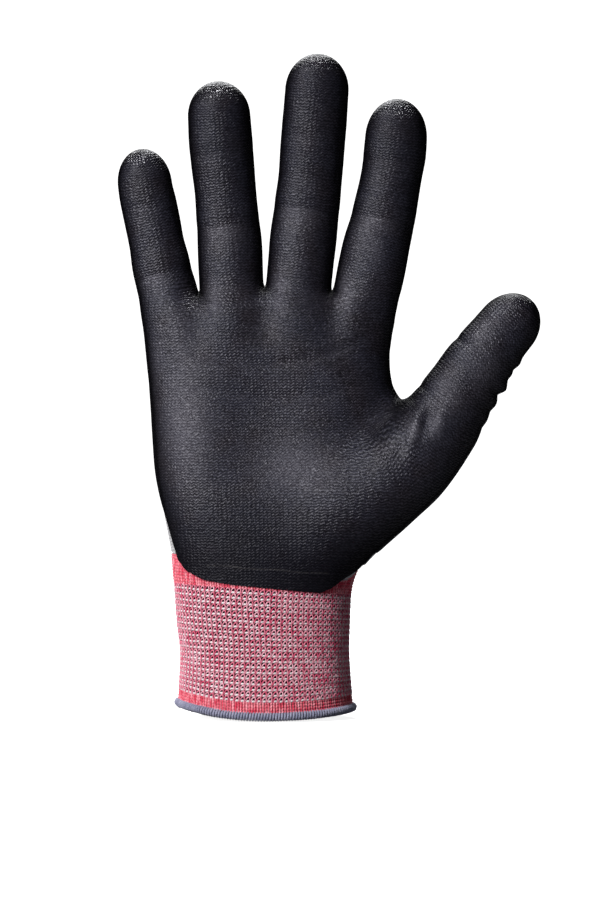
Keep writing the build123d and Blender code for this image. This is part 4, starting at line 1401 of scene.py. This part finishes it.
def build_floor():
    half_width, front, back, top = 6.0, -3.0, 2.2, 4.0
    bend, drop = 0.6, 0.0004   # radius of the sweep; how far it lies below the glove
    profile = [(front, 0.0)]
    profile += [(back - bend + bend * math.sin(a), bend - bend * math.cos(a))
                for a in np.linspace(0, math.pi / 2, 13)]
    profile.append((back, top))
    verts = [(x, y, z - drop) for y, z in profile for x in (-half_width, half_width)]
    faces = [(2 * i, 2 * i + 1, 2 * i + 3, 2 * i + 2) for i in range(len(profile) - 1)]
    material = floor_material()
    mesh = bpy.data.meshes.new("studio_floor")
    mesh.from_pydata(verts, [], faces)
    mesh.materials.append(material)
    for polygon in mesh.polygons:
        polygon.use_smooth = True
    obj = bpy.data.objects.new("studio_floor", mesh)
    bpy.context.scene.collection.objects.link(obj)


def build_world():
    """White to the camera, a faint cool fill to everything else."""
    world = bpy.data.worlds.new("studio")
    bpy.context.scene.world = world
    g = Graph(world)
    fill = g.out("Background", {0: (0.93, 0.95, 1.0), 1: 0.045})
    white = g.out("Background", {0: (1, 1, 1), 1: 1.0})
    camera_ray = g.out("LightPath", output="Is Camera Ray")
    g.new("OutputWorld", {0: g.out("MixShader", {0: camera_ray, 1: fill, 2: white})})


def area(name, azimuth, elevation, distance, size, power, color=(1, 1, 1), size_y=None):
    """A soft box: azimuth degrees round to the camera's right and elevation degrees up."""
    target = Vector((0.01, 0, 0.12))
    a, e = math.radians(azimuth), math.radians(elevation)
    place = target + distance * Vector((math.sin(a) * math.cos(e),
                                        -math.cos(a) * math.cos(e), math.sin(e)))
    light = bpy.data.lights.new(name, "AREA")
    light.energy, light.color = power, color
    light.shape, light.size = "RECTANGLE" if size_y else "SQUARE", size
    if size_y:
        light.size_y = size_y
    obj = bpy.data.objects.new(name, light)
    bpy.context.scene.collection.objects.link(obj)
    obj.location = place
    obj.rotation_euler = (target - place).to_track_quat("-Z", "Y").to_euler()


def build_camera():
    distance = 1.2
    view_width, view_y = 0.22755, -0.003   # width of the view, and the plane it is taken at
    camera = bpy.data.cameras.new("camera")
    camera.sensor_fit = "HORIZONTAL"
    camera.sensor_width = 36.0
    camera.lens = 36.0 / (view_width / (distance + view_y))
    camera.clip_start, camera.clip_end = 0.01, 20
    obj = bpy.data.objects.new("camera", camera)
    bpy.context.scene.collection.objects.link(obj)
    obj.location = (0.0157, -distance, 0.0947)
    obj.rotation_euler = (math.pi / 2, 0, 0)
    bpy.context.scene.camera = obj


# ------------------------------------------------------------------ the glove
coating = coating_material()
liner = liner_material()
grey_yarn = yarn_material("grey_yarn", dark=(0.26, 0.21, 0.23), mid=(0.64, 0.57, 0.60),
                          pale=(0.86, 0.80, 0.82))
red_yarn = yarn_material("red_plated_yarn", dark=(0.28, 0.010, 0.045),
                         mid=(0.66, 0.055, 0.145), pale=(0.93, 0.54, 0.64), pale_from=0.39)
red_knit = plain_knit_material("red_knit", dark=(0.15, 0.004, 0.014),
                               mid=(0.56, 0.028, 0.070), pale=(0.86, 0.36, 0.42))
# the cuff's backing: knit whose near-black colour is painted shade
backing_painted_shade = plain_knit_material("cuff_ground", dark=(0.018, 0.002, 0.004),
                             mid=(0.055, 0.004, 0.010), pale=(0.11, 0.012, 0.022))
hem = yarn_material("overlock_yarn", dark=(0.060, 0.062, 0.105), mid=(0.175, 0.185, 0.29),
                    pale=(0.36, 0.36, 0.48), rough=0.6)
elastic = yarn_material("covered_elastic", dark=(0.35, 0.34, 0.33), mid=(0.62, 0.61, 0.58),
                        pale=(0.78, 0.77, 0.74), rough=0.5)

build_fabric(liner, coating)
build_cuff([grey_yarn, red_yarn], red_knit, backing_painted_shade, hem)
for name, obj in frame["nodes"].items():
    if name.startswith("cuff_elastic"):
        obj.data.materials.clear()
        obj.data.materials.append(elastic)

build_floor()
bpy.context.scene.view_settings.view_transform = "Standard"
bpy.context.scene.view_settings.look = "None"
build_world()
area("key", azimuth=-42, elevation=22, distance=1.25, size=0.36, size_y=0.85, power=26.5,
     color=(1.0, 0.99, 0.975))
area("front", azimuth=-30, elevation=50, distance=1.5, size=0.5, size_y=0.5, power=4.0,
     color=(1.0, 0.99, 0.98))
area("hair", azimuth=8, elevation=106, distance=1.0, size=0.14, power=6.0)
area("rear", azimuth=-176, elevation=42, distance=1.4, size=0.8, size_y=0.8, power=9.0,
     color=(0.97, 0.98, 1.0))
build_camera()

bpy.context.view_layer.update()
